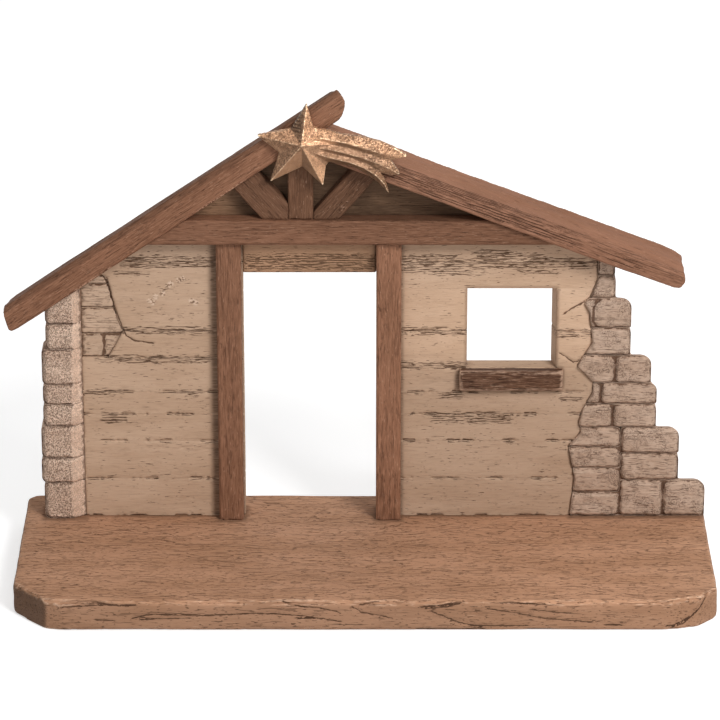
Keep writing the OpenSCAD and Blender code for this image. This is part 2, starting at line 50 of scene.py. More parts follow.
# One helper for both kinds of node tree: it adds nodes, and joins sockets or plain values
class Sheet:
    def __init__(self, tree):
        self.tree = tree

    def add(self, kind, inputs=None, **settings):
        node = self.tree.nodes.new(kind)
        for key, value in settings.items():
            setattr(node, key, value)
        for key, value in (inputs or {}).items():
            self.put(value, node.inputs[key])
        return node

    def put(self, value, socket):
        if isinstance(value, bpy.types.NodeSocket):
            self.tree.links.new(value, socket)
        else:
            socket.default_value = value

    def math(self, operation, *values):
        inputs = dict(enumerate(values))
        return self.add("ShaderNodeMath", inputs, operation=operation).outputs[0]

    def chain(self, operation, first, *others):
        for other in others:
            first = self.math(operation, first, other)
        return first

    def times(self, *values):
        return self.chain("MULTIPLY", *values)

    def plus(self, *values):
        return self.chain("ADD", *values)

    def most(self, *values):
        return self.chain("MAXIMUM", *values)

    def minus(self, value, less):
        return self.math("SUBTRACT", value, less)

    def vector(self, operation, *values, out=0):
        inputs = dict(enumerate(values))
        return self.add("ShaderNodeVectorMath", inputs, operation=operation).outputs[out]

    def scaled(self, vector, factors):
        return self.vector("MULTIPLY", vector, factors)

    def noise(self, vector, stretch=None, detail=2.0, rough=0.5):
        if stretch is not None:
            vector = self.scaled(vector, stretch)
        inputs = {"Vector": vector, "Scale": 1.0, "Detail": detail, "Roughness": rough}
        return self.add("ShaderNodeTexNoise", inputs).outputs[0]

    def ramp(self, value, low, high, start=0.0, end=1.0):
        inputs = {"Value": value, "From Min": low, "From Max": high, "To Min": start, "To Max": end}
        return self.add("ShaderNodeMapRange", inputs, interpolation_type="SMOOTHSTEP").outputs[0]

    def split(self, vector):
        return self.add("ShaderNodeSeparateXYZ", {0: vector}).outputs

    def join(self, x, y, z):
        return self.add("ShaderNodeCombineXYZ", {0: x, 1: y, 2: z}).outputs[0]

    # How near a noise is to its middle: thin lines that follow the grain
    def lines(self, value, width):
        off = self.math("ABSOLUTE", self.minus(value, 0.5))
        return self.ramp(off, 0.0, width, 1.0, 0.0)


# Geometry trees: each one carves the front of a voxel-remeshed copy of a CAD solid. They only
# move the surface inwards, and leave the contact faces where they are.
carveSizes = {
    "Turn": ("NodeSocketFloat", 0.0),          # slope of the grain, radians about Y
    "Seed": ("NodeSocketVector", (0, 0, 0)),   # where this piece is cut out of the grain
    "Round": ("NodeSocketInt", 1),             # passes that soften the edges
    "Hollow": ("NodeSocketFloat", 0.3),        # depth of the broad knife cuts, mm
    "Groove": ("NodeSocketFloat", 0.3),        # depth of the fine grooves, mm
    "Chip": ("NodeSocketFloat", 0.3),          # how far the edges are knocked off, mm
    "Upper": ("NodeSocketFloat", 0.0),         # 1 knocks off only the upper front edges
    "Front": ("NodeSocketFloat", 0.0),         # 1 carves only what faces forwards
}


def startTree(name):
    tree = bpy.data.node_groups.new(name, "GeometryNodeTree")
    tree.interface.new_socket("Geometry", in_out="INPUT", socket_type="NodeSocketGeometry")
    for label, (kind, value) in carveSizes.items():
        socket = tree.interface.new_socket(label, in_out="INPUT", socket_type=kind)
        socket.default_value = value
    tree.interface.new_socket("Finish", in_out="INPUT", socket_type="NodeSocketMaterial")
    tree.interface.new_socket("Geometry", in_out="OUTPUT", socket_type="NodeSocketGeometry")
    return tree


def openSocket(sockets):
    return [socket for socket in sockets if socket.name == "Value" and socket.enabled][0]


def softened(sheet, value, passes, kind="FLOAT_VECTOR"):
    node = sheet.add("GeometryNodeBlurAttribute", {"Iterations": passes}, data_type=kind)
    sheet.put(value, openSocket(node.inputs))
    return openSocket(node.outputs)


def store(sheet, geometry, name, value, kind="FLOAT"):
    node = sheet.add("GeometryNodeStoreNamedAttribute", {"Geometry": geometry, "Name": name},
                     data_type=kind, domain="POINT")
    sheet.put(value, openSocket(node.inputs))
    return node.outputs[0]


def carveTree(name, cut):
    tree = startTree(name)
    sheet = Sheet(tree)
    given = sheet.add("NodeGroupInput").outputs
    position = sheet.add("GeometryNodeInputPosition").outputs[0]
    normal = sheet.add("GeometryNodeInputNormal").outputs[0]
    smooth = sheet.add("GeometryNodeSetPosition", {
        "Geometry": given["Geometry"],
        "Position": softened(sheet, position, given["Round"])}).outputs[0]
    # Grain coordinates in mm: along the grain, through the depth, across the grain
    turned = sheet.add("ShaderNodeVectorRotate", {
        "Vector": position, "Axis": (0, 1, 0), "Angle": given["Turn"]},
        rotation_type="AXIS_ANGLE").outputs[0]
    grain = sheet.vector("ADD", sheet.scaled(turned, (1 / mm, 1 / mm, 1 / mm)), given["Seed"])
    facing = sheet.split(normal)
    forwards = sheet.ramp(sheet.times(facing[1], -1.0), 0.15, 0.6)
    mask = sheet.minus(1.0, sheet.times(given["Front"], sheet.minus(1.0, forwards)))
    # Edges stand out from their blurred surroundings and hollows lie behind them
    bulge = sheet.vector("SUBTRACT", position, softened(sheet, position, 3))
    crest = sheet.times(sheet.vector("DOT_PRODUCT", bulge, normal, out=1), 1 / mm)
    chips = sheet.ramp(sheet.noise(grain, (0.12, 0.3, 0.3), detail=1.0), 0.4, 0.68)
    chips = sheet.times(chips, sheet.ramp(crest, 0.02, 0.12), given["Chip"])
    upper = sheet.times(sheet.ramp(facing[2], 0.2, 0.4), sheet.ramp(facing[1], -0.2, -0.4))
    lower = sheet.times(given["Upper"], sheet.minus(1.0, upper))
    chips = sheet.times(chips, sheet.minus(1.0, lower))
    depth, dark = cut(sheet, grain, given, facing, position)
    depth = sheet.times(sheet.plus(depth, chips), mask, -mm)
    offset = sheet.scaled(normal, sheet.join(depth, depth, depth))
    moved = sheet.add("GeometryNodeSetPosition", {"Geometry": smooth, "Offset": offset}).outputs[0]
    done = store(sheet, moved, "edge", softened(sheet, crest, 1, "FLOAT"))
    done = store(sheet, done, "dark", sheet.times(dark, mask))
    done = store(sheet, done, "grain", grain, "FLOAT_VECTOR")
    done = sheet.add("GeometryNodeSetShadeSmooth", {"Geometry": done}).outputs[0]
    done = sheet.add("GeometryNodeRealizeInstances", {"Geometry": done}).outputs[0]
    done = sheet.add("GeometryNodeSetMaterial", {
        "Geometry": done, "Material": given["Finish"]}).outputs[0]
    sheet.add("NodeGroupOutput", {"Geometry": done})
    return tree


# Each cut gives the depth in mm and how dark its bottom is
def cutDepth(sheet, given, broad, grooves):
    return sheet.plus(sheet.times(broad, given["Hollow"]), sheet.times(grooves, given["Groove"]))


# Long shallow knife facets and torn grooves along the grain
def cutTimber(sheet, grain, given, facing, position):
    broad = sheet.ramp(sheet.noise(grain, (0.022, 0.13, 0.13), detail=0.0), 0.35, 0.65)
    fibre = sheet.noise(grain, (0.03, 0.45, 0.45))
    tear = sheet.ramp(sheet.noise(grain, (0.05, 0.22, 0.22)), 0.47, 0.6)
    grooves = sheet.times(sheet.lines(fibre, 0.04), tear)
    return cutDepth(sheet, given, broad, grooves), grooves


def cutBoard(sheet, grain, given, facing, position):
    broad = sheet.ramp(sheet.noise(grain, (0.03, 0.09, 0.11), detail=1.0), 0.3, 0.75)
    fibre = sheet.noise(grain, (0.08, 0.6, 0.7))
    where = sheet.ramp(sheet.noise(grain, (0.03, 0.1, 0.2)), 0.55, 0.68)
    dashes = sheet.times(sheet.lines(fibre, 0.05), where)
    return cutDepth(sheet, given, broad, dashes), sheet.times(dashes, 0.4)


def cutStone(sheet, grain, given, facing, position):
    lump = sheet.ramp(sheet.noise(grain, (0.15, 0.15, 0.15), detail=1.0), 0.3, 0.75)
    pits = sheet.ramp(sheet.noise(grain, (0.9, 0.9, 1.1), detail=1.0), 0.34, 0.46, 1.0, 0.0)
    patch = sheet.ramp(sheet.noise(grain, (0.14, 0.14, 0.14)), 0.42, 0.6)
    pits = sheet.times(pits, patch)
    return cutDepth(sheet, given, lump, pits), sheet.times(pits, 0.5)


# Slow bends throw the lines into arcs, as where a board was sawn through a knot
def cutBase(sheet, grain, given, facing, position):
    swing = sheet.times(sheet.noise(grain, (0.014, 0.03, 0.03), detail=1.0), 20.0)
    bent = sheet.vector("ADD", grain, sheet.join(0.0, swing, swing))
    fibre = sheet.noise(bent, (0.02, 0.26, 0.26))
    tear = sheet.ramp(sheet.noise(grain, (0.04, 0.12, 0.12)), 0.46, 0.62)
    grooves = sheet.times(sheet.lines(fibre, 0.03), tear)
    broad = sheet.ramp(sheet.noise(grain, (0.025, 0.07, 0.11), detail=1.0), 0.3, 0.75)
    return cutDepth(sheet, given, broad, grooves), sheet.times(grooves, 0.55)


# Where the star's ribs fade in, in metres, and their ripple in radians per metre
starRibs = {"ripple": 4400.0, "left": (-0.0335, -0.032), "right": (-0.0265, -0.0275),
            "above": (0.197, 0.199), "slope": (-0.25, -0.45)}


# Stippling on what faces upwards, ribs across the top point's left flank
def cutStar(sheet, grain, given, facing, position):
    pits = sheet.ramp(sheet.noise(grain, (1.15, 1.15, 1.15), detail=1.0), 0.44, 0.52, 1.0, 0.0)
    upper = sheet.ramp(facing[2], -0.12, 0.2)
    patch = sheet.ramp(sheet.noise(grain, (0.16, 0.2, 0.2)), 0.56, 0.66)
    pits = sheet.times(pits, sheet.most(upper, patch))
    place = sheet.split(position)
    ribs = sheet.math("SINE", sheet.times(place[2], starRibs["ripple"]))
    flank = sheet.times(
        sheet.ramp(place[0], *starRibs["right"]), sheet.ramp(facing[0], *starRibs["slope"]),
        sheet.ramp(place[0], *starRibs["left"]), sheet.ramp(place[2], *starRibs["above"]))
    ribs = sheet.times(sheet.ramp(ribs, -0.3, 0.8), flank)
    dark = sheet.most(sheet.times(pits, 0.8), ribs, sheet.times(flank, 0.75))
    return cutDepth(sheet, given, ribs, pits), dark


trees = {
    "timber": carveTree("carvedTimber", cutTimber),
    "board": carveTree("carvedBoard", cutBoard),
    "stone": carveTree("carvedStone", cutStone),
    "base": carveTree("carvedBase", cutBase),
    "star": carveTree("stippledStar", cutStar),
}
print("stage: carving trees ready")


# Shader groups shared by the finishes. Each one reads the grain's coordinates, and every input
# is set where the group is used.
def shaderGroup(name, inputs, outputs, build):
    tree = bpy.data.node_groups.new(name, "ShaderNodeTree")
    tree.interface.new_socket("Vector", in_out="INPUT", socket_type="NodeSocketVector")
    for side, labels in (("INPUT", inputs), ("OUTPUT", outputs)):
        for label in labels:
            tree.interface.new_socket(label, in_out=side, socket_type="NodeSocketFloat")
    sheet = Sheet(tree)
    given = sheet.add("NodeGroupInput").outputs
    sheet.add("NodeGroupOutput", dict(zip(outputs, build(sheet, given["Vector"], given))))
    return tree


def grainNodes(sheet, grain, given):
    vector = sheet.scaled(grain, sheet.join(given["Along"], given["Across"], given["Across"]))
    fibre = sheet.noise(vector, detail=4.0, rough=0.6)
    tone = sheet.noise(grain, (0.02, 0.07, 0.07), detail=3.0)
    scratch = sheet.noise(vector, (2.4, 1.2, 1.2), detail=1.0)
    return [fibre, tone, sheet.ramp(scratch, 0.66, 0.76)]


# Short dark cuts along the grain, where Band is high they crowd together
def dashNodes(sheet, grain, given):
    stretch = sheet.join(given["Along"], given["Across"], given["Across"])
    level = sheet.minus(given["Sparse"], sheet.times(given["Crowd"], given["Band"]))
    return [sheet.ramp(sheet.noise(grain, stretch), level, sheet.plus(level, 0.045))]


def wearNodes(sheet, grain, given):
    spots = sheet.noise(grain, (0.3, 0.9, 0.9), detail=3.0, rough=0.6)
    spots = sheet.times(sheet.minus(spots, 0.5), given["Breakup"], given["Full"])
    worn = sheet.plus(given["Edge"], sheet.times(spots, 2.0))
    deep = sheet.times(given["Edge"], -1.0)
    return [sheet.ramp(value, given["Start"], given["Full"]) for value in (worn, deep)]


# Rows of fine knife lines along the grain, broken up, and closer to whole where Band is high
def ruledNodes(sheet, grain, given):
    place = sheet.split(grain)
    across = sheet.math("DIVIDE", sheet.plus(place[1], place[2]), given["Pitch"])
    drift = sheet.noise(grain, (0.05, 0.16, 0.16))
    across = sheet.plus(across, sheet.times(drift, given["Wave"], 6.0))
    ripple = sheet.math("SINE", sheet.times(across, math.tau))
    breaks = sheet.noise(grain, sheet.join(given["Along"], 1.3, 1.3))
    level = sheet.minus(0.68, sheet.times(given["Band"], 0.26))
    breaks = sheet.ramp(breaks, level, sheet.plus(level, 0.07))
    return [sheet.times(sheet.ramp(ripple, 0.15, 0.65), breaks)]


def speckleNodes(sheet, grain, given):
    grit = sheet.noise(grain, sheet.join(given["Size"], given["Size"], given["Size"]), rough=0.6)
    spots = sheet.ramp(grit, sheet.plus(given["Amount"], 0.05), given["Amount"])
    patch = sheet.noise(grain, (0.13, 0.13, 0.13), detail=1.0)
    patch = sheet.ramp(patch, given["Cluster"], sheet.plus(given["Cluster"], 0.2))
    return [sheet.times(spots, patch)]


# The engraved lines: Line is a signed distance in mm, so that they stay thin and crisp
def engravedNodes(sheet, grain, given):
    shift = sheet.times(sheet.minus(sheet.noise(grain, (0.6, 0.6, 0.6)), 0.5), 0.9)
    off = sheet.math("ABSOLUTE", sheet.plus(given["Line"], shift))
    strength = sheet.ramp(sheet.noise(grain, (0.35, 0.35, 0.35)), 0.34, 0.6, 0.2, 1.3)
    width = sheet.times(given["Width"], strength)
    cut = sheet.ramp(off, width, sheet.plus(width, 0.22), 1.0, 0.0)
    # A fainter second strand beside the first
    beside = sheet.math("ABSOLUTE", sheet.minus(off, 0.75))
    broken = sheet.ramp(sheet.noise(grain, (0.5, 0.9, 0.9), detail=1.0), 0.5, 0.58)
    twin = sheet.times(sheet.ramp(beside, 0.05, 0.25, 1.0, 0.0), broken, given["Twin"])
    return [sheet.times(sheet.most(cut, twin), given["On"])]


groups = {
    "grain": shaderGroup("woodGrain", ["Along", "Across"], ["Fibre", "Tone", "Scratch"], grainNodes),
    "dash": shaderGroup("knifeDashes", ["Along", "Across", "Sparse", "Crowd", "Band"], ["Dashes"],
                        dashNodes),
    "wear": shaderGroup("edgeWear", ["Edge", "Start", "Full", "Breakup"], ["Worn", "Deep"], wearNodes),
    "ruled": shaderGroup("ruledLines", ["Pitch", "Wave", "Along", "Band"], ["Lines"], ruledNodes),
    "speckle": shaderGroup("speckle", ["Size", "Amount", "Cluster"], ["Spots"], speckleNodes),
    "engraved": shaderGroup("engravedLines", ["Line", "On", "Width", "Twin"], ["Cut"], engravedNodes),
}


def useGroup(sheet, key, **inputs):
    node = sheet.add("ShaderNodeGroup", node_tree=groups[key])
    for label, value in inputs.items():
        sheet.put(value, node.inputs[label])
    return node.outputs


def attribute(sheet, name, out="Fac"):
    return sheet.add("ShaderNodeAttribute", attribute_name=name).outputs[out]


def blendColour(sheet, factor, under, over, kind="MIX"):
    node = sheet.add("ShaderNodeMix", data_type="RGBA", blend_type=kind)
    for socket, value in ((node.inputs[0], factor), (node.inputs[6], under), (node.inputs[7], over)):
        if isinstance(value, tuple):
            value = (*value, 1.0)
        sheet.put(value, socket)
    return node.outputs[2]


def newMaterial(name):
    material = bpy.data.materials.new(name)
    material.use_nodes = True
    tree = material.node_tree
    return material, Sheet(tree), tree.nodes["Principled BSDF"].inputs


def paintedMaterial(name, look):
    material, sheet, shader = newMaterial(name)
    grain = attribute(sheet, "grain", "Vector")
    band = attribute(sheet, "band")
    wood = useGroup(sheet, "grain", Vector=grain, Along=look["along"], Across=look["across"])
    dash = useGroup(sheet, "dash", Vector=grain, Along=look["dashAlong"], Across=look["dashAcross"],
                    Sparse=look["sparse"], Crowd=look["crowd"], Band=band)
    ruled = useGroup(sheet, "ruled", Vector=grain, Pitch=look["pitch"], Wave=look["wave"],
                     Along=look["ruledAlong"], Band=band)
    wear = useGroup(sheet, "wear", Vector=grain, Edge=attribute(sheet, "edge"),
                    Start=look["wearStart"], Full=look["wearFull"], Breakup=look["breakup"])
    grit = useGroup(sheet, "speckle", Vector=grain, Size=look["gritSize"], Amount=look["grit"],
                    Cluster=look["cluster"])
    cut = useGroup(sheet, "engraved", Vector=grain, Line=attribute(sheet, "line"),
                   On=attribute(sheet, "lineOn"), Width=look["lineWidth"], Twin=look["twin"])
    # Grain, scratches, grit, worn edges and pale flecks, one over another
    rubbed = sheet.minus(1.0, attribute(sheet, "smooth"))
    calm = sheet.plus(0.35, sheet.times(rubbed, 0.65))
    lift = sheet.times(sheet.ramp(wood["Fibre"], 0.45, 0.75, 0.0, look["streak"]), calm)
    sink = sheet.times(sheet.ramp(wood["Fibre"], 0.5, 0.28, 0.0, look["streak"]), calm)
    worn = sheet.times(wear["Worn"], look["worn"])
    fleck = attribute(sheet, "fleck")
    crumbs = sheet.noise(grain, (1.1, 1.1, 1.1), detail=1.0)
    flaked = sheet.times(fleck, sheet.ramp(crumbs, 0.5, 0.56), 0.55)
    colour = blendColour(sheet, sheet.ramp(wood["Tone"], 0.35, 0.65), look["shade"], look["base"])
    for mask, paint in ((lift, "light"), (sink, "washAndShade"),
                        (sheet.times(wood["Scratch"], look["scratch"]), "pale"),
                        (sheet.times(grit["Spots"], look["gritDark"], rubbed), "washAndShade"),
                        (worn, "pale"), (flaked, "pale")):
        colour = blendColour(sheet, mask, colour, look[paint])
    # The dark wash stays in the cuts; where pieces meet, and beside and under parts that stand proud, it
    # is laid on as painted shade and painted shadow
    chipped = sheet.times(fleck, sheet.ramp(crumbs, 0.45, 0.38))
    darkened = sheet.times(attribute(sheet, "close"), look["close"],
                         sheet.ramp(wood["Fibre"], 0.3, 0.65, 0.5, 1.1))
    dark = sheet.times(attribute(sheet, "dark"), rubbed)
    for mask, strength in ((dark, look["darkened"]), (chipped, 0.75), (ruled["Lines"], look["ruled"]),
                           (dash["Dashes"], look["dashed"]), (wear["Deep"], look["deep"]),
                           (cut["Cut"], look["cut"])):
        darkened = sheet.most(darkened, sheet.times(mask, strength))
    colour = blendColour(sheet, darkened, colour, look["washAndShade"])
    # Tint carries painted light and shade as well as each piece's tone. It is stored as a difference from
    # 1, so that a mesh without it keeps its colour
    tint = sheet.plus(1.0, attribute(sheet, "tint"))
    colour = blendColour(sheet, 1.0, colour, sheet.join(tint, tint, tint), "MULTIPLY")
    sheet.put(colour, shader["Base Color"])
    rough = sheet.plus(look["rough"], sheet.times(darkened, 0.12))
    sheet.put(sheet.minus(rough, sheet.times(worn, 0.1)), shader["Roughness"])
    height = sheet.times(wood["Fibre"], look["fine"])
    for mask, strength in ((dash["Dashes"], look["carved"]), (grit["Spots"], look["pitted"]),
                           (ruled["Lines"], look["carved"]), (fleck, -look["carved"]),
                           (cut["Cut"], look["carved"])):
        height = sheet.minus(height, sheet.times(mask, strength))
    bump = sheet.add("ShaderNodeBump", {"Height": height, "Strength": 0.8, "Distance": 0.5 * mm})
    sheet.put(bump.outputs[0], shader["Normal"])
    shader["Metallic"].default_value = look["metal"]
    shader["Specular IOR Level"].default_value = look["sheen"]
    return material


# How the finishes look. Colours: base and shade by turns, light in the fibres, a dark wash in the cuts
# that is also the painted shade where pieces meet, pale where it is worn. Grain, dashes and grit are in
# cycles per mm, pitch and line width in mm, and the rest are strengths and levels from 0 to 1.
woodLook = dict(
    base=(0.23, 0.107, 0.061), shade=(0.183, 0.083, 0.046), light=(0.355, 0.185, 0.113),
    washAndShade=(0.06, 0.025, 0.014), pale=(0.5, 0.3, 0.2),
    along=0.16, across=2.4, streak=0.5, scratch=0.4, fine=0.6,
    dashAlong=0.25, dashAcross=2.6, sparse=0.68, crowd=0.13, dashed=0.55,
    pitch=1.1, wave=0.5, ruledAlong=0.07, ruled=0.35,
    wearStart=0.1, wearFull=0.24, breakup=0.7, worn=0.5, deep=0.6,
    gritSize=1.4, grit=0.34, cluster=0.5, gritDark=0.0, pitted=0.0,
    lineWidth=0.14, twin=0.0, cut=0.85, close=0.6, darkened=0.5, carved=0.7,
    rough=0.66, metal=0.0, sheen=0.14)
boardLook = dict(
    woodLook, washAndShade=(0.085, 0.042, 0.023), streak=0.2, scratch=0.12, worn=0.2, darkened=0.35,
    dashAlong=0.3, dashAcross=2.8, crowd=0.14, deep=0.15, pitch=1.15, ruledAlong=0.17, ruled=0.75,
    close=0.72)
stoneLook = dict(woodLook, across=1.2, deep=0.3, ruled=0.0, close=0.75)
looks = {
    "timberLeft": woodLook,
    "timberRight": dict(
        woodLook, base=(0.262, 0.126, 0.076), shade=(0.22, 0.103, 0.06), light=(0.4, 0.215, 0.142),
        wave=0.3, ruledAlong=0.035, ruled=0.95),
    "timberFrame": dict(woodLook, base=(0.22, 0.103, 0.059), shade=(0.176, 0.081, 0.045)),
    "timberTruss": dict(
        woodLook, base=(0.155, 0.074, 0.041), shade=(0.115, 0.054, 0.029),
        light=(0.25, 0.13, 0.078), worn=0.35),
    "wall": dict(
        boardLook, base=(0.51, 0.348, 0.24), shade=(0.455, 0.302, 0.202),
        light=(0.575, 0.41, 0.295), pale=(0.78, 0.6, 0.47), dashed=0.9, lineWidth=0.2, cut=0.88,
        rough=0.7, fine=0.25),
    # The header is the wall's colour darkened: painted shade under the tie beam
    "header": dict(
        boardLook, base=(0.44, 0.255, 0.152), shade=(0.33, 0.19, 0.11), light=(0.5, 0.33, 0.22),
        pale=(0.62, 0.45, 0.34), dashed=0.8),
    # The gable boards are the wall's boards painted dark brown: painted shade under the roof
    "gable": dict(
        woodLook, base=(0.1, 0.056, 0.032), shade=(0.072, 0.04, 0.023), light=(0.15, 0.09, 0.055),
        washAndShade=(0.025, 0.013, 0.007), pale=(0.2, 0.13, 0.085), worn=0.1, scratch=0.1, deep=0.3),
    "sill": dict(
        woodLook, base=(0.115, 0.053, 0.029), shade=(0.08, 0.036, 0.02), light=(0.3, 0.17, 0.11),
        washAndShade=(0.025, 0.011, 0.006), pale=(0.45, 0.29, 0.2), streak=0.75, worn=0.95,
        wearStart=0.02, wearFull=0.09, pitch=1.6, wave=0.4, ruledAlong=0.06, ruled=0.7),
    "base": dict(
        woodLook, base=(0.36, 0.197, 0.118), shade=(0.305, 0.162, 0.093),
        light=(0.45, 0.275, 0.172), washAndShade=(0.07, 0.034, 0.019), pale=(0.58, 0.39, 0.275),
        along=0.08, across=1.7, streak=0.16, scratch=0.2, worn=0.6, darkened=0.6,
        dashAlong=0.42, dashAcross=2.0, sparse=0.655, crowd=0.06, dashed=0.8,
        pitch=2.1, wave=1.1, ruledAlong=0.08, ruled=0.45, lineWidth=0.19, twin=0.3, cut=0.98),
    "stone": dict(
        stoneLook, base=(0.56, 0.4, 0.3), shade=(0.48, 0.33, 0.238), light=(0.68, 0.53, 0.43),
        washAndShade=(0.12, 0.06, 0.035), pale=(0.75, 0.6, 0.5), along=0.35, streak=0.2, scratch=0.2,
        gritSize=1.9, grit=0.41, cluster=0.42, gritDark=0.6, pitted=0.7, worn=0.4, darkened=0.7,
        crowd=0.14, dashed=0.7, lineWidth=0.42, cut=0.9),
    "pier": dict(
        stoneLook, base=(0.79, 0.57, 0.43), shade=(0.69, 0.48, 0.355), light=(0.94, 0.77, 0.64),
        washAndShade=(0.11, 0.055, 0.033), pale=(0.9, 0.76, 0.66), along=1.4, streak=0.45,
        gritSize=2.0, grit=0.45, cluster=0.16, gritDark=0.7, pitted=0.9, darkened=0.6,
        sparse=0.7, crowd=0.05, dashed=0.5, lineWidth=0.3),
    "brick": dict(
        stoneLook, base=(0.5, 0.35, 0.25), shade=(0.43, 0.295, 0.205), light=(0.58, 0.44, 0.34),
        washAndShade=(0.11, 0.058, 0.034), pale=(0.65, 0.5, 0.4), along=0.3, streak=0.18, scratch=0.15,
        grit=0.37, gritDark=0.35, worn=0.3, darkened=0.7, dashed=0.6, ruled=0.15, close=0.6,
        lineWidth=0.5, cut=0.95),
    "gold": dict(
        woodLook, base=(0.44, 0.245, 0.138), shade=(0.32, 0.172, 0.095), light=(0.87, 0.56, 0.34),
        washAndShade=(0.06, 0.027, 0.013), pale=(1.0, 0.72, 0.47), along=0.5, across=0.5, streak=0.35,
        scratch=0.0, fine=0.2, gritSize=2.1, grit=0.44, cluster=0.1, gritDark=0.6, pitted=0.4,
        wearStart=0.03, wearFull=0.11, breakup=0.3, worn=0.9, darkened=0.75, dashed=0.0, ruled=0.0,
        carved=0.0, rough=0.38, metal=0.3, sheen=0.3),
}
finishes = {name: paintedMaterial(name, look) for name, look in looks.items()}
print("stage: finishes ready")

# What each piece is: its carving tree, finish, voxel size in mm and the tree's named inputs
frontOnly = {"Front": 1.0}
boardCuts = {"Hollow": 0.25, "Groove": 0.2, "Chip": 0.15, **frontOnly}
pieceKinds = {
    "left_rafter": ("timber", "timberLeft", 0.5, {"Hollow": 0.45}),
    "right_rafter": ("timber", "timberRight", 0.5, {"Hollow": 0.4}),
    "tie_beam": ("timber", "timberFrame", 0.5, frontOnly),
    "king_post": ("timber", "timberTruss", 0.45, frontOnly),
    "left_post": ("timber", "timberFrame", 0.5, frontOnly),
    "right_post": ("timber", "timberFrame", 0.5, frontOnly),
    "left_brace": ("timber", "timberTruss", 0.45, frontOnly),
    "right_brace": ("timber", "timberTruss", 0.45, frontOnly),
    "window_sill": ("timber", "sill", 0.45, {"Hollow": 0.4, "Groove": 0.35, **frontOnly}),
    "comet_star": ("star", "gold", 0.32, {"Hollow": 0.3, "Groove": 0.12, "Chip": 0.0, "Round": 0}),
    "base_board": ("base", "base", 0.9, {"Hollow": 0.25, "Groove": 0.3, "Chip": 0.8, "Upper": 1.0,
                                         "Round": 3}),
}
# The rest, by how their names start
sharedKinds = {
    "pier": ("stone", "pier", 0.5, {"Hollow": 0.5, "Groove": 0.3, "Round": 3, **frontOnly}),
    "rubble": ("stone", "stone", 0.5, {"Hollow": 0.5, "Groove": 0.22, "Round": 3, **frontOnly}),
    "patch": ("stone", "brick", 0.5, {"Hollow": 0.3, "Groove": 0.12, **frontOnly}),
    "door_header": ("board", "header", 0.55, boardCuts),
    "gable": ("board", "gable", 0.7, {"Chip": 0.1, **frontOnly}),
    "": ("board", "wall", 0.55, boardCuts),
}
# The slope of the grain in degrees
grainTurns = {"left_rafter": 34.4, "right_rafter": -21.3, "king_post": 90, "left_post": 90,
              "right_post": 90, "left_brace": -49, "right_brace": 50}


def kindOf(node):
    if node in pieceKinds:
        return pieceKinds[node]
    return sharedKinds[next(start for start in sharedKinds if node.startswith(start))]


def setInputs(modifier, tree, values):
    for item in tree.interface.items_tree:
        if item.item_type == "SOCKET" and item.in_out == "INPUT" and item.name in values:
            modifier[item.identifier] = values[item.name]


def step(values, low, high):
    share = np.clip((values - low) / (high - low), 0.0, 1.0)
    return share * share * (3.0 - 2.0 * share)


def fade(values, low, high):
    return 1.0 - step(values, low, high)


# A sum of soft steps: where each one starts and ends, and what it adds
def steps(values, rows):
    return sum(gain * step(values, low, high) for low, high, gain in rows)


# The corners of a CAD node in mm
def corners(node):
    return [np.array(corner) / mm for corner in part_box(node)]


# Marks that follow the whole building, not the single piece, are worked out for each point of a
# carved mesh, in mm: values for the finish, and how far the point is pushed in
class Marks:
    def __init__(self, node, mesh):
        self.node = node
        self.finish = kindOf(node)[1]
        self.points = self.read(mesh, "co") / mm
        self.normals = self.read(mesh, "normal")
        self.x, self.y, self.z = self.points.T
        self.rightwards, self.backwards, self.upwards = self.normals.T
        self.front = step(-self.backwards, 0.3, 0.7)
        self.low, self.high = corners(node)
        self.push = self.flat(0.0)
        self.values = {}

    def read(self, mesh, key):
        numbers = np.empty(len(mesh.vertices) * 3, np.float32)
        mesh.vertices.foreach_get(key, numbers)
        return numbers.reshape(-1, 3)

    def flat(self, value):
        return np.full(len(self.points), value)

    def set(self, **values):
        self.values.update(values)

    def add(self, name, values):
        self.values[name] = self.values[name] + values

    def fill(self, name, values):
        self.values[name] = np.maximum(self.values[name], values)

    # How far a point is above or below the nearest seam
    def seam(self):
        return np.minimum(self.z - self.low[2], self.high[2] - self.z)

    def write(self, mesh):
        moved = (self.points + np.outer(self.push * self.front, (0, 1, 0))) * mm
        placed = np.clip(moved, *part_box(self.node))
        mesh.vertices.foreach_set("co", placed.astype(np.float32).ravel())
        for name, values in self.values.items():
            layer = mesh.attributes.new(name, "FLOAT", "POINT")
            layer.data.foreach_set("value", values.astype(np.float32))
        mesh.update()


farOff = 9.0   # mm, past the reach of every mark


# Signed distance to the nearest of some polylines, given as X and Z, and how strong that one is
def lineDistance(marks, lines, faint=()):
    best, strength = marks.flat(farOff), marks.flat(1.0)
    for line in [*lines, *faint]:
        for (ax, az), (bx, bz) in zip(line, line[1:]):
            dx, dz = bx - ax, bz - az
            px, pz = marks.x - ax, marks.z - az
            share = np.clip((px * dx + pz * dz) / (dx * dx + dz * dz), 0.0, 1.0)
            ox, oz = px - share * dx, pz - share * dz
            away = np.hypot(ox, oz)
            away = np.where(dx * oz - dz * ox < 0, -away, away)
            nearer = np.abs(away) < np.abs(best)
            best = np.where(nearer, away, best)
            strength = np.where(nearer, plaster["faintStrength"] if line in faint else 1.0, strength)
    return best, strength


# How far values lie outside a range
def outside(values, low, high):
    return np.maximum(np.maximum(low - values, values - high), 0.0)


def boxDistance(marks, boxes):
    best = marks.flat(farOff)
    for low, high in boxes:
        away = outside(marks.points, low, high)
        best = np.minimum(best, np.sqrt((away * away).sum(axis=1)))
    return best


# Round spots: X, Z, the radius of the core and of the whole
def spotted(marks, spots):
    best = marks.flat(0.0)
    for x, z, core, size in spots:
        best = np.maximum(best, fade(np.hypot(marks.x - x, marks.z - z), core, size))
    return best


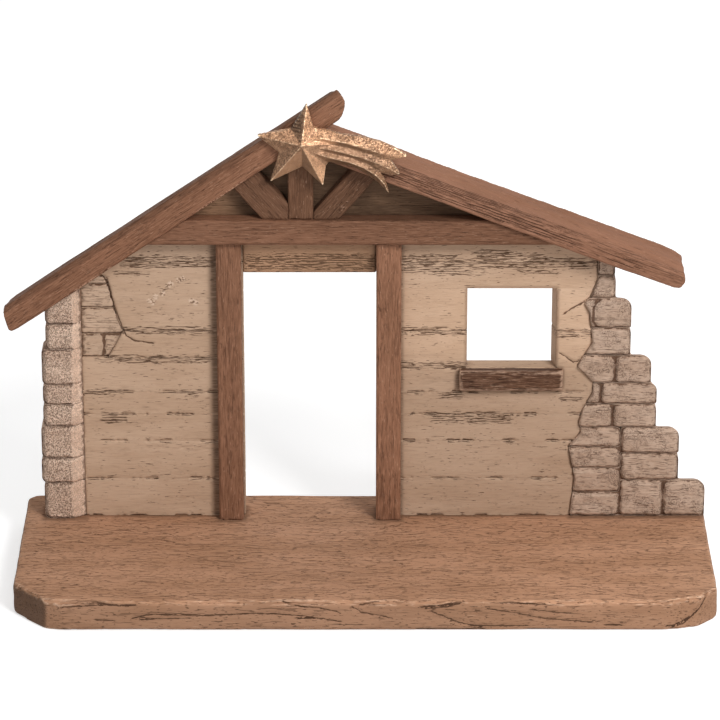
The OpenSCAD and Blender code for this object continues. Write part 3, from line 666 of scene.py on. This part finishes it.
# Lines cut into the plaster: its broken edges and its cracks, X and Z in mm
plaster = {
    "edges": [
        [(-116.8, 129.6), (-112.3, 126.6), (-110.2, 122.4), (-109.2, 117.5), (-107.4, 110.5),
         (-104.9, 103.5)],
        [(94.7, 115.4), (97.3, 117.8), (100.2, 125.7), (100.5, 145)]],
    "faint": [
        [(-104.9, 103.5), (-107.9, 95.6), (-111.3, 89.5)],
        [(90.1, 14), (92, 32.2), (89, 47.4), (94.5, 54.1), (93.4, 58.9), (95, 65), (99.4, 73.5),
         (99.1, 78.4), (92.3, 85.7), (93.5, 88.1), (98.7, 96.6), (97, 110.6), (94.7, 115.4)]],
    "cracks": [
        [(-104.9, 103.5), (-103.3, 99.6), (-99.5, 97.2), (-91.9, 96.2)],
        [(94.7, 115.4), (90.4, 113.1), (86, 110)],
        [(93.5, 87.8), (90.5, 87.3), (87.2, 89.7), (84.6, 91.3)]],
    # The open joint beside the masonry's ninth course
    "joint": [(102, 117.3), (99.6, 116), (98.6, 113), (98.5, 107), (100.4, 104.4)],
    "depth": 0.55, "faintStrength": 0.26, "stoneShare": 0.4,    # shallower in the stones
}


def markPlaster(marks):
    lines = plaster["edges"] + (plaster["cracks"] if marks.finish == "wall" else [])
    if marks.finish == "stone":
        lines = lines + [plaster["joint"]]
    away, strength = lineDistance(marks, lines, plaster["faint"])
    reach = np.abs(away)
    share = plaster["stoneShare"] if marks.finish == "stone" else 1.0
    marks.set(line=away, lineOn=fade(reach, 0.6, 0.9) * marks.front * strength)
    marks.push += fade(reach, 0.15, 0.8) * strength * plaster["depth"] * share


boards = {
    # Where knife dashes crowd: left, right, low, high, how much
    "bands": [
        (15.1, 37.4, 129.6, 137, 1), (48.6, 60.2, 136.1, 139.3, 1), (37.5, 100.2, 131.5, 135.6, 1),
        (63.3, 75.3, 136.1, 138, 0.8), (28, 50.9, 128.2, 129.6, 0.8), (65.9, 82.3, 128.7, 130.1, 0.7),
        (16.1, 42.5, 100.4, 103.2, 0.9), (17.5, 42.7, 84.6, 87.2, 0.9), (83.8, 98.4, 99, 102.6, 0.8),
        (34.1, 40.6, 70, 72.8, 0.8), (31.1, 62.1, 58.5, 63.3, 0.9), (86.5, 93.9, 69, 70.9, 0.8),
        (-102, -65.8, 131.9, 136.6, 1), (-106.4, -96.9, 128.2, 129.6, 0.8),
        (-104.4, -66.2, 101, 103.6, 0.9), (-111.7, -65.5, 87.4, 90.2, 0.9),
        (-80.6, -71.9, 72.4, 74, 0.9), (-120.8, -107.7, 72, 74, 0.8),
        (-112.3, -105.3, 59, 62.8, 0.9), (-49.5, 3.2, 131, 137.5, 1)],
    "flecks": [(-92.8, 116.1), (-90.2, 118), (-87.1, 119.4), (-84.9, 123.1), (-83.6, 124.1),
               (-80.1, 125.5), (-78.4, 126.4), (-74.7, 116.1), (-73, 115.2), (-91.5, 115.2)],
    "fleckSize": (0.7, 1.7), "fleckDepth": 0.25,
    "shut": (117.9, 121.9, 160, 174, 189),    # seams that are shut all along, by height
    # How far behind the front a seam's groove starts, its greatest depth and its width
    "groove": 0.12, "grooveDepth": 1.2, "grooveWidth": 0.95,
    "flare": 1.8,    # how much wider the window is in front
    # Painted shade and shadow of each contact: where it starts to fade, where it ends, and how dark it is
    "contacts": {"leftOfPost": (1.2, 4.5, 1.0), "post": (0.2, 1.6, 0.8), "frame": (0.2, 1.8, 0.8),
                 "underSill": (0.4, 2.8, 1.0), "sill": (0.1, 1.2, 0.7), "window": (0.6, 1.6, 0.6)},
    # How light the boards are: lighter or darker by height, and right of the door
    "byHeight": [(115, 145, -0.06)], "rightOfDoor": (-20, 40), "rightTint": -0.1,
    "rightByHeight": [(75, 98, 0.3), (116, 130, -0.14)],
    # The gable's painted shade: lighter overall, and much lighter on its left
    "gableTint": 0.25, "gableLeft": (-66, -50), "gableLeftTint": 1.9,
}


# The seams between the boards come and go, and some are shut all along
def seamOpen(marks):
    middle = (marks.low[2] + marks.high[2]) / 2
    x, z = marks.x, np.where(marks.z > middle, marks.high[2], marks.low[2])
    wave = np.sin(x * 0.29 + z * 1.3) + 0.7 * np.sin(x * 0.71 + z * 2.9) + 0.4 * np.sin(x * 1.9 + z)
    share = step(wave, -0.2, 0.7)
    for level in boards["shut"]:
        share = np.where(np.abs(z - level) < 0.3, 0.0, share)
    return share


def contact(away, place):
    start, end, dark = boards["contacts"][place]
    return dark * fade(away, start, end)


# Painted shade where the boards meet the posts, the beam, the sill and the window's edge, and painted
# shadows left of the left post and under the sill
def boardContacts(marks):
    post = corners("left_post")
    away = boxDistance(marks, [post])
    close = np.where(marks.x < post[0][0], contact(away, "leftOfPost"), contact(away, "post"))
    away = boxDistance(marks, [corners("right_post"), corners("tie_beam")])
    close = np.maximum(close, contact(away, "frame"))
    low, high = corners("window_sill")
    shaded = (marks.z < high[2] - 1) & (marks.x < high[0] - 2)
    away = boxDistance(marks, [(low, high)])
    close = np.maximum(close, np.where(shaded, contact(away, "underSill"), contact(away, "sill")))
    left = corners("window_left_board_2")[1]
    right = corners("window_right_board_2")[0][0] + boards["flare"]
    window = boxDistance(marks, [((left[0], low[1], high[2]), (right, high[1], left[2]))])
    close = np.maximum(close, contact(window, "window"))
    return close * np.maximum(marks.front, 0.8 * (window < 1.0))


def markBoards(marks):
    band = marks.flat(0.0)
    for x0, x1, z0, z1, strength in boards["bands"]:
        across, beside = outside(marks.z, z0, z1), outside(marks.x, x0, x1)
        band = np.maximum(band, strength * fade(across, 0, 1.2) * fade(beside, 0, 5))
    seams = seamOpen(marks) * fade(marks.seam(), 0.3, 1.6) * marks.front
    fleck = spotted(marks, [(*spot, *boards["fleckSize"]) for spot in boards["flecks"]])
    right = step(marks.x, *boards["rightOfDoor"])
    tint = right * (boards["rightTint"] + steps(marks.z, boards["rightByHeight"]))
    marks.set(band=np.maximum(band, seams), fleck=fleck, close=boardContacts(marks),
              tint=tint + steps(marks.z, boards["byHeight"]))
    marks.push += boards["fleckDepth"] * fleck


# Where a seam is shut, its groove comes forward to the face of the boards
def shutSeams(marks):
    beside = marks.seam() < boards["grooveWidth"]
    groove = np.where(beside, marks.y - marks.low[1] - boards["groove"], 0.0)
    groove = np.where((groove > 0) & (groove < boards["grooveDepth"]), groove, 0.0)
    marks.push -= groove * (1.0 - seamOpen(marks))
    marks.front = np.where(beside, 1.0, marks.front)


# The gable's painted shade, lighter on its left
def paintGableShade(marks):
    left = fade(marks.x, *boards["gableLeft"])
    marks.set(tint=boards["gableTint"] + boards["gableLeftTint"] * left)


# The masonry's stones, by course: left and right as shares, first and last level
masonry = {
    "left": 95.0, "width": 54.5, "corner": 2.6,
    "levels": [14, 25.5, 37.1, 47.2, 56.5, 67.7, 77.6, 90.8, 103.6, 117.5, 128, 142],
    "stones": [
        (1, -0.3, 0.31, 0, 1), (1, 0.31, 0.66, 0, 1.5), (1, 0.66, 1, 0, 1.5),
        (2, -0.3, 0.31, 1, 2), (2, 0.31, 0.78, 1.5, 2.7), (3, -0.3, 0.31, 2, 3),
        (3, 0.31, 0.78, 2.7, 4), (4, -0.3, 0.31, 3, 4), (5, -0.3, 0.24, 4, 5),
        (5, 0.24, 0.59, 4, 5), (6, -0.3, 0.14, 5, 6), (6, 0.14, 0.59, 5, 6),
        (7, -0.3, 0.25, 6, 7), (7, 0.25, 0.54, 6, 7), (8, -0.3, 0.37, 7, 8),
        (9, -0.3, 0.37, 8, 9), (10, -0.3, 0.24, 9, 10), (11, -0.3, 0.232, 10, 11)],
    # How wide and deep the edges are rounded, and how light the faces are
    "stone": {"edge": 1.6, "depth": 0.9, "tint": -0.07},
    "brick": {"edge": 0.9, "depth": 0.4, "tint": 0.1},
    "pier": {"edge": 1.6, "depth": 0.9, "tint": -0.04},
    "brickSplit": -113.1,    # the upright joint in the lowest brick
    # Painted light on the stones' tops and on the pier's slanted band
    "topLight": 0.2, "slantLight": 0.12, "slantSmooth": 0.6,
    "pierRight": -122.8,     # where the pier meets the wall
    "slantWidth": 9,         # the joints stop at the pier's slanted inner band
}


def stoneBoxes(marks):
    if marks.finish == "pier":
        right = marks.high[0] + masonry["slantWidth"]
        return [(marks.low[0], right, marks.low[2], marks.high[2])]
    course, levels = int(marks.node.split("_")[-1]), masonry["levels"]
    left, width = masonry["left"], masonry["width"]
    return [(left + a * width, left + b * width, *np.interp((low, high), range(len(levels)), levels))
            for i, a, b, low, high in masonry["stones"] if i == course]


# How far a point lies inside its stone's rounded outline
def stoneRim(marks):
    rim, corner = marks.flat(-farOff), masonry["corner"]
    for x0, x1, z0, z1 in stoneBoxes(marks):
        rx = np.minimum(marks.x - x0, x1 - marks.x)
        rz = np.minimum(marks.z - z0, z1 - marks.z)
        inside = corner - np.hypot(np.maximum(corner - rx, 0), np.maximum(corner - rz, 0))
        inside = np.where((rx < 0) | (rz < 0), np.minimum(rx, rz), inside)
        rim = np.maximum(rim, inside)
    return rim


def brickRim(marks):
    if marks.node != "patch_brick_1":
        return marks.seam()
    return np.minimum(marks.seam(), np.abs(marks.x - masonry["brickSplit"]))


def markStones(marks):
    sizes = masonry[marks.finish]
    rim = brickRim(marks) if marks.finish == "brick" else stoneRim(marks)
    wave = np.sin(marks.x * 1.7 + marks.z) * 0.2 + np.sin(marks.x * 0.6 - marks.z * 2.1) * 0.2
    marks.push += fade(rim + wave, 0.1, sizes["edge"]) * sizes["depth"]
    joint, line = np.maximum(rim, 0.0), marks.values["line"]
    # The stones' tops get painted light
    marks.set(line=np.where(joint < np.abs(line), joint, line),
              close=0.3 * fade(rim + wave, 0.3, 1.6) * marks.front,
              band=marks.flat(0.5),
              tint=sizes["tint"] + masonry["topLight"] * step(marks.upwards, 0.3, 0.7))
    marks.fill("lineOn", fade(joint, 0.8, 1.2) * marks.front)
    if marks.finish == "brick":
        # A ragged dark line where the bricks meet the pier
        beside = marks.x - corners("patch_brick_1")[0][0]
        marks.fill("close", 1.2 * fade(beside + 2.0 * wave, 1.0, 1.6) * marks.front)
    if marks.finish == "pier":
        markPier(marks, sizes["tint"], wave)


# The slanted inner band of the pier has no joints and gets painted light, and its inner edge is dark
def markPier(marks, tint, wave):
    slant = step(marks.rightwards, 0.2, 0.5)
    foot = fade(masonry["pierRight"] - marks.x + 1.4 * wave, 0.3, 0.9) * (marks.backwards < -0.1)
    marks.push *= 1.0 - slant
    marks.set(close=np.maximum(marks.values["close"] * (1.0 - slant), foot),
              lineOn=marks.values["lineOn"] * (1.0 - slant), band=marks.flat(0.3),
              tint=masonry["slantLight"] * slant + tint * (1.0 - slant),
              smooth=masonry["slantSmooth"] * slant)


# Arcs and splinters cut into the front of the base, X and Z in mm
baseMarks = {
    "lines": [
        [(-128.1, 10.9), (-121.1, 11.6), (-111, 12.1), (-96.9, 12.1)],
        [(-124, 13.6), (-114, 13.2), (-106, 12.1), (-99.9, 11.4)],
        [(-114.2, 5.3), (-109.1, 5), (-106.1, 4.7)], [(-98.5, 5.8), (-94, 7.2), (-87.9, 8)],
        [(-95, 5.3), (-83.9, 5.8), (-73.9, 6.1)], [(-87.9, 7.8), (-77.9, 8), (-67.8, 7.2), (-57.7, 7.8)],
        [(-57.7, 7.6), (-47.6, 8.3), (-35.6, 8), (-24.5, 6.9), (-10.4, 4.4)],
        [(-34.5, 13.2), (-27.5, 11.6), (-19.4, 10.9), (-11.4, 8.9)], [(-28.5, 5.8), (-17.4, 6)],
        [(-5.3, 11.2), (-2.2, 9.5)], [(-2.1, 8.7), (3.9, 7.8), (11, 6.1)], [(-2.1, 12.1), (2.9, 12.7)],
        [(23.5, 11.4), (31.1, 7.8), (40.2, 3.9), (48.8, 2)], [(24.1, 11.4), (32.1, 12.1), (40, 13.6)],
        [(26.1, 10.6), (34.1, 11.2), (41.1, 13.4)], [(51.7, 10.6), (62.3, 8.7), (76.5, 5.8), (95.7, 4.2)],
        [(54, 13.6), (64, 13), (76, 12.6)], [(70, 10.2), (80.5, 8.9), (87, 8.4)],
        [(45.3, 2.7), (58.4, 2.4), (68.5, 2.6)], [(101.7, 3.1), (108.8, 2.7)],
        [(22.1, 0.9), (31.2, 1), (44.3, 0.8), (50.4, 1)], [(68.5, 0.7), (78.6, 0.6)],
        [(127.5, 2), (132, 2.7), (138, 5.6), (141.9, 8.9), (144.9, 13.5)],
        [(129, 0.9), (135, 2.7), (139.9, 6.7)]],
    "depth": 0.35, "standing": 20,    # what starts below this level stands on the base
    # Painted light on the top, painted shade on the left end and a painted highlight along the front edge
    "topLight": 0.33, "leftEndShade": -0.57, "frontEdgeHighlight": 0.22, "toTheRight": [(10, 90, 0.11)],
}


def markBase(marks):
    away = lineDistance(marks, baseMarks["lines"])[0]
    reach = np.abs(away)
    top = step(marks.upwards, 0.5, 0.8)
    standing = [corners(name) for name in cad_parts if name.endswith("_1") or "post" in name]
    standing = [box for box in standing if box[0][2] < baseMarks["standing"]]
    leftEnd = step(-marks.rightwards, 0.3, 0.6) * step(-marks.backwards, -0.2, 0.2)
    # A painted highlight along the rounded front edge
    rubbed = step(marks.z, 9.5, 13.5) * step(-marks.backwards, 0.2, 0.5)
    rubbed *= (0.6 + 0.4 * np.sin(marks.x * 0.07 + 1.0)) * (1.0 - leftEnd)
    # Painted light on the top and painted shade on the left end
    tint = baseMarks["topLight"] * top + baseMarks["leftEndShade"] * leftEnd
    tint += baseMarks["frontEdgeHighlight"] * rubbed + steps(marks.x, baseMarks["toTheRight"])
    # Painted shade around the feet of the pieces that stand on the base
    marks.set(line=away, lineOn=fade(reach, 0.45, 0.75) * marks.front, band=0.4 + 0.25 * top,
              close=fade(boxDistance(marks, standing), 0.3, 2.6), tint=tint)
    marks.push += fade(reach, 0.2, 1.0) * baseMarks["depth"]


# How light each timber is, and the pale chips on one brace: X, Z and size
timber = {
    "tints": {"tie_beam": -0.07, "left_brace": -0.08, "right_brace": -0.16, "right_post": 0.26,
              "left_rafter": 0.12, "right_rafter": 0.09, "window_sill": -0.05, "king_post": 0.12,
              "left_post": 0.1},
    "chips": [(-10.6, 160.2, 1.3), (-9.4, 161.7, 1.3), (-7.6, 164.2, 0.7), (-5.6, 166.8, 0.6),
              (-3.4, 169.6, 0.6)],
    # Painted shade on the left rafter's top, painted light on the right rafter's top
    "band": 0.25, "shadedTop": -0.33, "rightTopLight": 0.08,
    "rightBand": (6.2, 4.4),     # how far below its upper edge the right rafter's dashes start
    "topStrip": (3, 5.5),        # the front strip of its top face, from its front
    # Painted light on the tie beam's top, with a painted shadow on its right part
    "fewerDashes": (60, 105), "tieTopLight": 0.3, "tieRightShadow": [(-45, 0, -0.5)], "tieBack": (30, 31),
}


def markTimber(marks):
    marks.set(band=marks.flat(timber["band"]), tint=marks.flat(timber["tints"][marks.node]))
    if marks.node == "right_brace":
        chips = [(x, z, 0.3 * size, size) for x, z, size in timber["chips"]]
        marks.set(fleck=spotted(marks, chips))
    if marks.node == "tie_beam":
        # Painted shade where the top meets the wall, painted light on the top and a painted shadow on its
        # right part
        top = step(marks.upwards, 0.5, 0.9)
        marks.set(close=top * step(marks.y, *timber["tieBack"]))
        marks.add("tint", top * (timber["tieTopLight"] + steps(marks.x, timber["tieRightShadow"])))


# How far a point lies across the slope of a rafter
def acrossSlope(marks):
    turn = math.radians(grainTurns[marks.node])
    return -marks.x * math.sin(turn) + marks.z * math.cos(turn)


def markLeftRafter(marks):
    across = acrossSlope(marks)
    bottom, top = np.percentile(across[marks.front > 0.9], (3, 97))
    edge = step(across, bottom - 1.2, bottom - 0.6) * fade(across, bottom + 0.2, bottom + 0.8)
    marks.set(fleck=edge * step(np.sin(marks.x * 0.11 + 2.0), 0.3, 0.6))
    # Painted shade on the top face and on a strip along the upper edge
    shaded = np.maximum(step(marks.upwards, 0.6, 0.8), step(across, top - 2.3, top - 1.7))
    marks.add("tint", timber["shadedTop"] * shaded)


def markRightRafter(marks):
    across = acrossSlope(marks)
    edge = np.percentile(across[marks.front > 0.9], 97)
    start, full = timber["rightBand"]
    top = step(marks.upwards, 0.6, 0.8)
    behind = step(marks.y - marks.low[1], *timber["topStrip"])
    band = np.maximum(marks.front * step(across, edge - start, edge - full), top * (1.0 - behind))
    marks.set(band=band * (1.12 - 0.6 * step(marks.x, *timber["fewerDashes"])), smooth=top * behind)
    # Painted light on the top face
    marks.add("tint", timber["rightTopLight"] * top)


# The level over which the star is dotted, by X, and the painted light and shade and how rubbed
# each facet is between two ridges, by its angle
starMarks = {
    "centre": (-26.7, 193.9), "tail": (-16, -10),
    "ridges": (53.7, 82.7, 128, 171.7, 207, 233.1, 271, 294.5, 313.4, 356.8),
    "facetLightAndShade": (0.85, 0.9, -0.35, 0.35, -0.1, -0.2, -0.05, -0.3, 0.38, -0.1, 0.85),
    "rubbed": (0.4, 0.3, 0, 0, 0.35, 0.2, 0.9, 0.9, 0.45, 0.3, 0.4),
    "dotted": ((-46, -34, -28, -22, -8.8, 3.3, 11.8, 18),
               (193, 192, 190, 197, 195, 190.6, 187.4, 185.5)),
    # Painted light and shade by facing: its direction and strength
    "tint": 0.06, "paintedLightFrom": (0.55, -0.25, 0.75), "paintedLight": 0.35,
    "tailTint": 0.3, "underTint": [(-0.3, 1.2, -0.66)], "endTint": [(2, 9, 0.2)],
    "tailRubbed": 0.9, "endRubbed": [(-4, 4, -0.75)],
}


def markStar(marks):
    x0, z0 = starMarks["centre"]
    angle = np.degrees(np.arctan2(marks.z - z0, marks.x - x0)) % 360
    facet = np.searchsorted(starMarks["ridges"], angle)
    under = np.interp(marks.x, *starMarks["dotted"]) - marks.z
    star = fade(marks.x, *starMarks["tail"])
    tail = 1.0 - star
    # Painted light on what faces up, right and forwards, and painted shade on what turns away
    tint = starMarks["paintedLight"] * (marks.normals @ np.array(starMarks["paintedLightFrom"])) + starMarks["tint"]
    tint += star * np.array(starMarks["facetLightAndShade"])[facet]
    tint += tail * (starMarks["tailTint"] + steps(under, starMarks["underTint"])
                    + steps(marks.x, starMarks["endTint"]))
    # Dots stay on the upper points and the tail's top stream, some of the rest is rubbed smooth
    rubbed = star * np.array(starMarks["rubbed"])[facet]
    rubbed += tail * (starMarks["tailRubbed"] + steps(marks.x, starMarks["endRubbed"]))
    marks.set(tint=tint, smooth=step(under, -0.6, 0.8) * rubbed)


markers = {
    "wall": (markPlaster, markBoards, shutSeams), "header": (markPlaster, markBoards),
    "stone": (markPlaster, markStones), "pier": (markPlaster, markStones),
    "brick": (markPlaster, markStones), "gable": (paintGableShade, shutSeams), "base": (markBase,),
    "timberLeft": (markTimber, markLeftRafter), "timberRight": (markTimber, markRightRafter),
    "timberFrame": (markTimber,), "timberTruss": (markTimber,), "sill": (markTimber,),
    "gold": (markStar,)}


# The flat underside needs no small faces
def flatBottom(mesh):
    work = bmesh.new()
    work.from_mesh(mesh)
    low = min(vert.co.z for vert in work.verts)
    flat = [face for face in work.faces if all(vert.co.z < low + 0.02 * mm for vert in face.verts)]
    joined = bmesh.ops.dissolve_faces(work, faces=flat, use_verts=False)["region"]
    bmesh.ops.triangulate(work, faces=joined)
    work.to_mesh(mesh)
    work.free()


# A copy of the node's mesh with its loose triangles joined
def joinedCopy(node):
    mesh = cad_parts[node].data.copy()
    work = bmesh.new()
    work.from_mesh(mesh)
    bmesh.ops.remove_doubles(work, verts=work.verts, dist=1e-6)
    work.to_mesh(mesh)
    work.free()
    mesh.materials.clear()
    return mesh


def carvedPiece(node):
    treeKey, finish, voxel, values = kindOf(node)
    piece = bpy.data.objects.new(node + ".carved", joinedCopy(node))
    scene.collection.objects.link(piece)
    remesh = piece.modifiers.new("voxels", "REMESH")
    remesh.mode = "VOXEL"
    remesh.voxel_size = voxel * mm
    remesh.use_smooth_shade = True
    carve = piece.modifiers.new("carve", "NODES")
    carve.node_group = trees[treeKey]
    dice = random.Random(sum(ord(letter) * (i + 3) for i, letter in enumerate(node)))
    seed = [dice.uniform(-400, 400) for _ in range(3)]
    turn = math.radians(grainTurns.get(node, 0))
    setInputs(carve, trees[treeKey], {**values, "Turn": turn, "Seed": seed, "Finish": finishes[finish]})
    evaluated = piece.evaluated_get(bpy.context.evaluated_depsgraph_get())
    result = bpy.data.meshes.new_from_object(evaluated)
    piece.modifiers.clear()
    piece.data = result
    marks = Marks(node, result)
    for mark in markers[finish]:
        mark(marks)
    marks.write(result)
    if node == "base_board":
        flatBottom(result)
    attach(piece, "root")
    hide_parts(node)
    return piece


others = [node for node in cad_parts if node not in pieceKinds]
pieces = [carvedPiece(node) for node in [*pieceKinds, *others]]
counts = [sum(len(face.vertices) - 2 for face in piece.data.polygons) for piece in pieces]
print("stage: pieces carved, triangles:", sum(counts), "largest:", max(counts))

# Camera at the photograph's angle, floor and soft studio light
cameraSizes = {"lens": 204.25, "sensor": 36, "place": (-0.00211, -1.59998, 0.78094), "pitch": 67,
               "clip": 20}
camera = bpy.data.cameras.new("camera")
camera.sensor_width = camera.sensor_height = cameraSizes["sensor"]
camera.lens = cameraSizes["lens"]
camera.clip_end = cameraSizes["clip"]
cameraObject = bpy.data.objects.new("camera", camera)
scene.collection.objects.link(cameraObject)
cameraObject.location = cameraSizes["place"]
cameraObject.rotation_euler = (math.radians(cameraSizes["pitch"]), 0, 0)
scene.camera = cameraObject

# Lamps: place, what they aim at, size in metres and watts
studio = {
    "reach": 6.0, "floor": (0.82, 0.82, 0.82), "floorRough": 0.8, "floorGlow": 0.5, "world": 0.3,
    "lamps": {
        "key": ((0.8, -1.1, 1.2), (0, 0, 0.08), 0.55, 22),
        "fill": ((-0.5, -1.5, 0.7), (0, 0, 0.08), 1.3, 4),
        "top": ((0.1, 0.3, 1.5), (0, 0, 0.05), 1.0, 4)},
}


def seenDirectly(sheet):
    path = sheet.add("ShaderNodeLightPath").outputs
    return sheet.most(path["Is Camera Ray"], path["Is Glossy Ray"], path["Is Transmission Ray"])


def floorMaterial():
    material, sheet, shader = newMaterial("floor")
    shader["Base Color"].default_value = (*studio["floor"], 1)
    shader["Roughness"].default_value = studio["floorRough"]
    shader["Emission Color"].default_value = (1, 1, 1, 1)
    sheet.put(sheet.times(seenDirectly(sheet), studio["floorGlow"]), shader["Emission Strength"])
    return material


def makeFloor():
    reach = studio["reach"]
    mesh = bpy.data.meshes.new("floor")
    corner = [(-reach, -reach, 0), (reach, -reach, 0), (reach, reach, 0), (-reach, reach, 0)]
    mesh.from_pydata(corner, [], [(0, 1, 2, 3)])
    mesh.materials.append(floorMaterial())
    floor = bpy.data.objects.new("floor", mesh)
    scene.collection.objects.link(floor)


def makeWorld():
    world = bpy.data.worlds.new("studio")
    scene.world = world
    world.use_nodes = True
    sheet = Sheet(world.node_tree)
    background = world.node_tree.nodes["Background"]
    background.inputs["Color"].default_value = (1, 1, 1, 1)
    extra = sheet.times(seenDirectly(sheet), 1.0 - studio["world"])
    sheet.put(sheet.plus(studio["world"], extra), background.inputs["Strength"])


def addLamp(name, place, target, size, watts):
    lamp = bpy.data.lights.new(name, "AREA")
    lamp.size = size
    lamp.energy = watts
    holder = bpy.data.objects.new(name, lamp)
    scene.collection.objects.link(holder)
    holder.location = place
    aim = Vector(target) - Vector(place)
    holder.rotation_euler = aim.to_track_quat("-Z", "Y").to_euler()


makeFloor()
makeWorld()
for name, lamp in studio["lamps"].items():
    addLamp(name, *lamp)
scene.view_settings.view_transform = "Standard"
print("stage: studio ready")
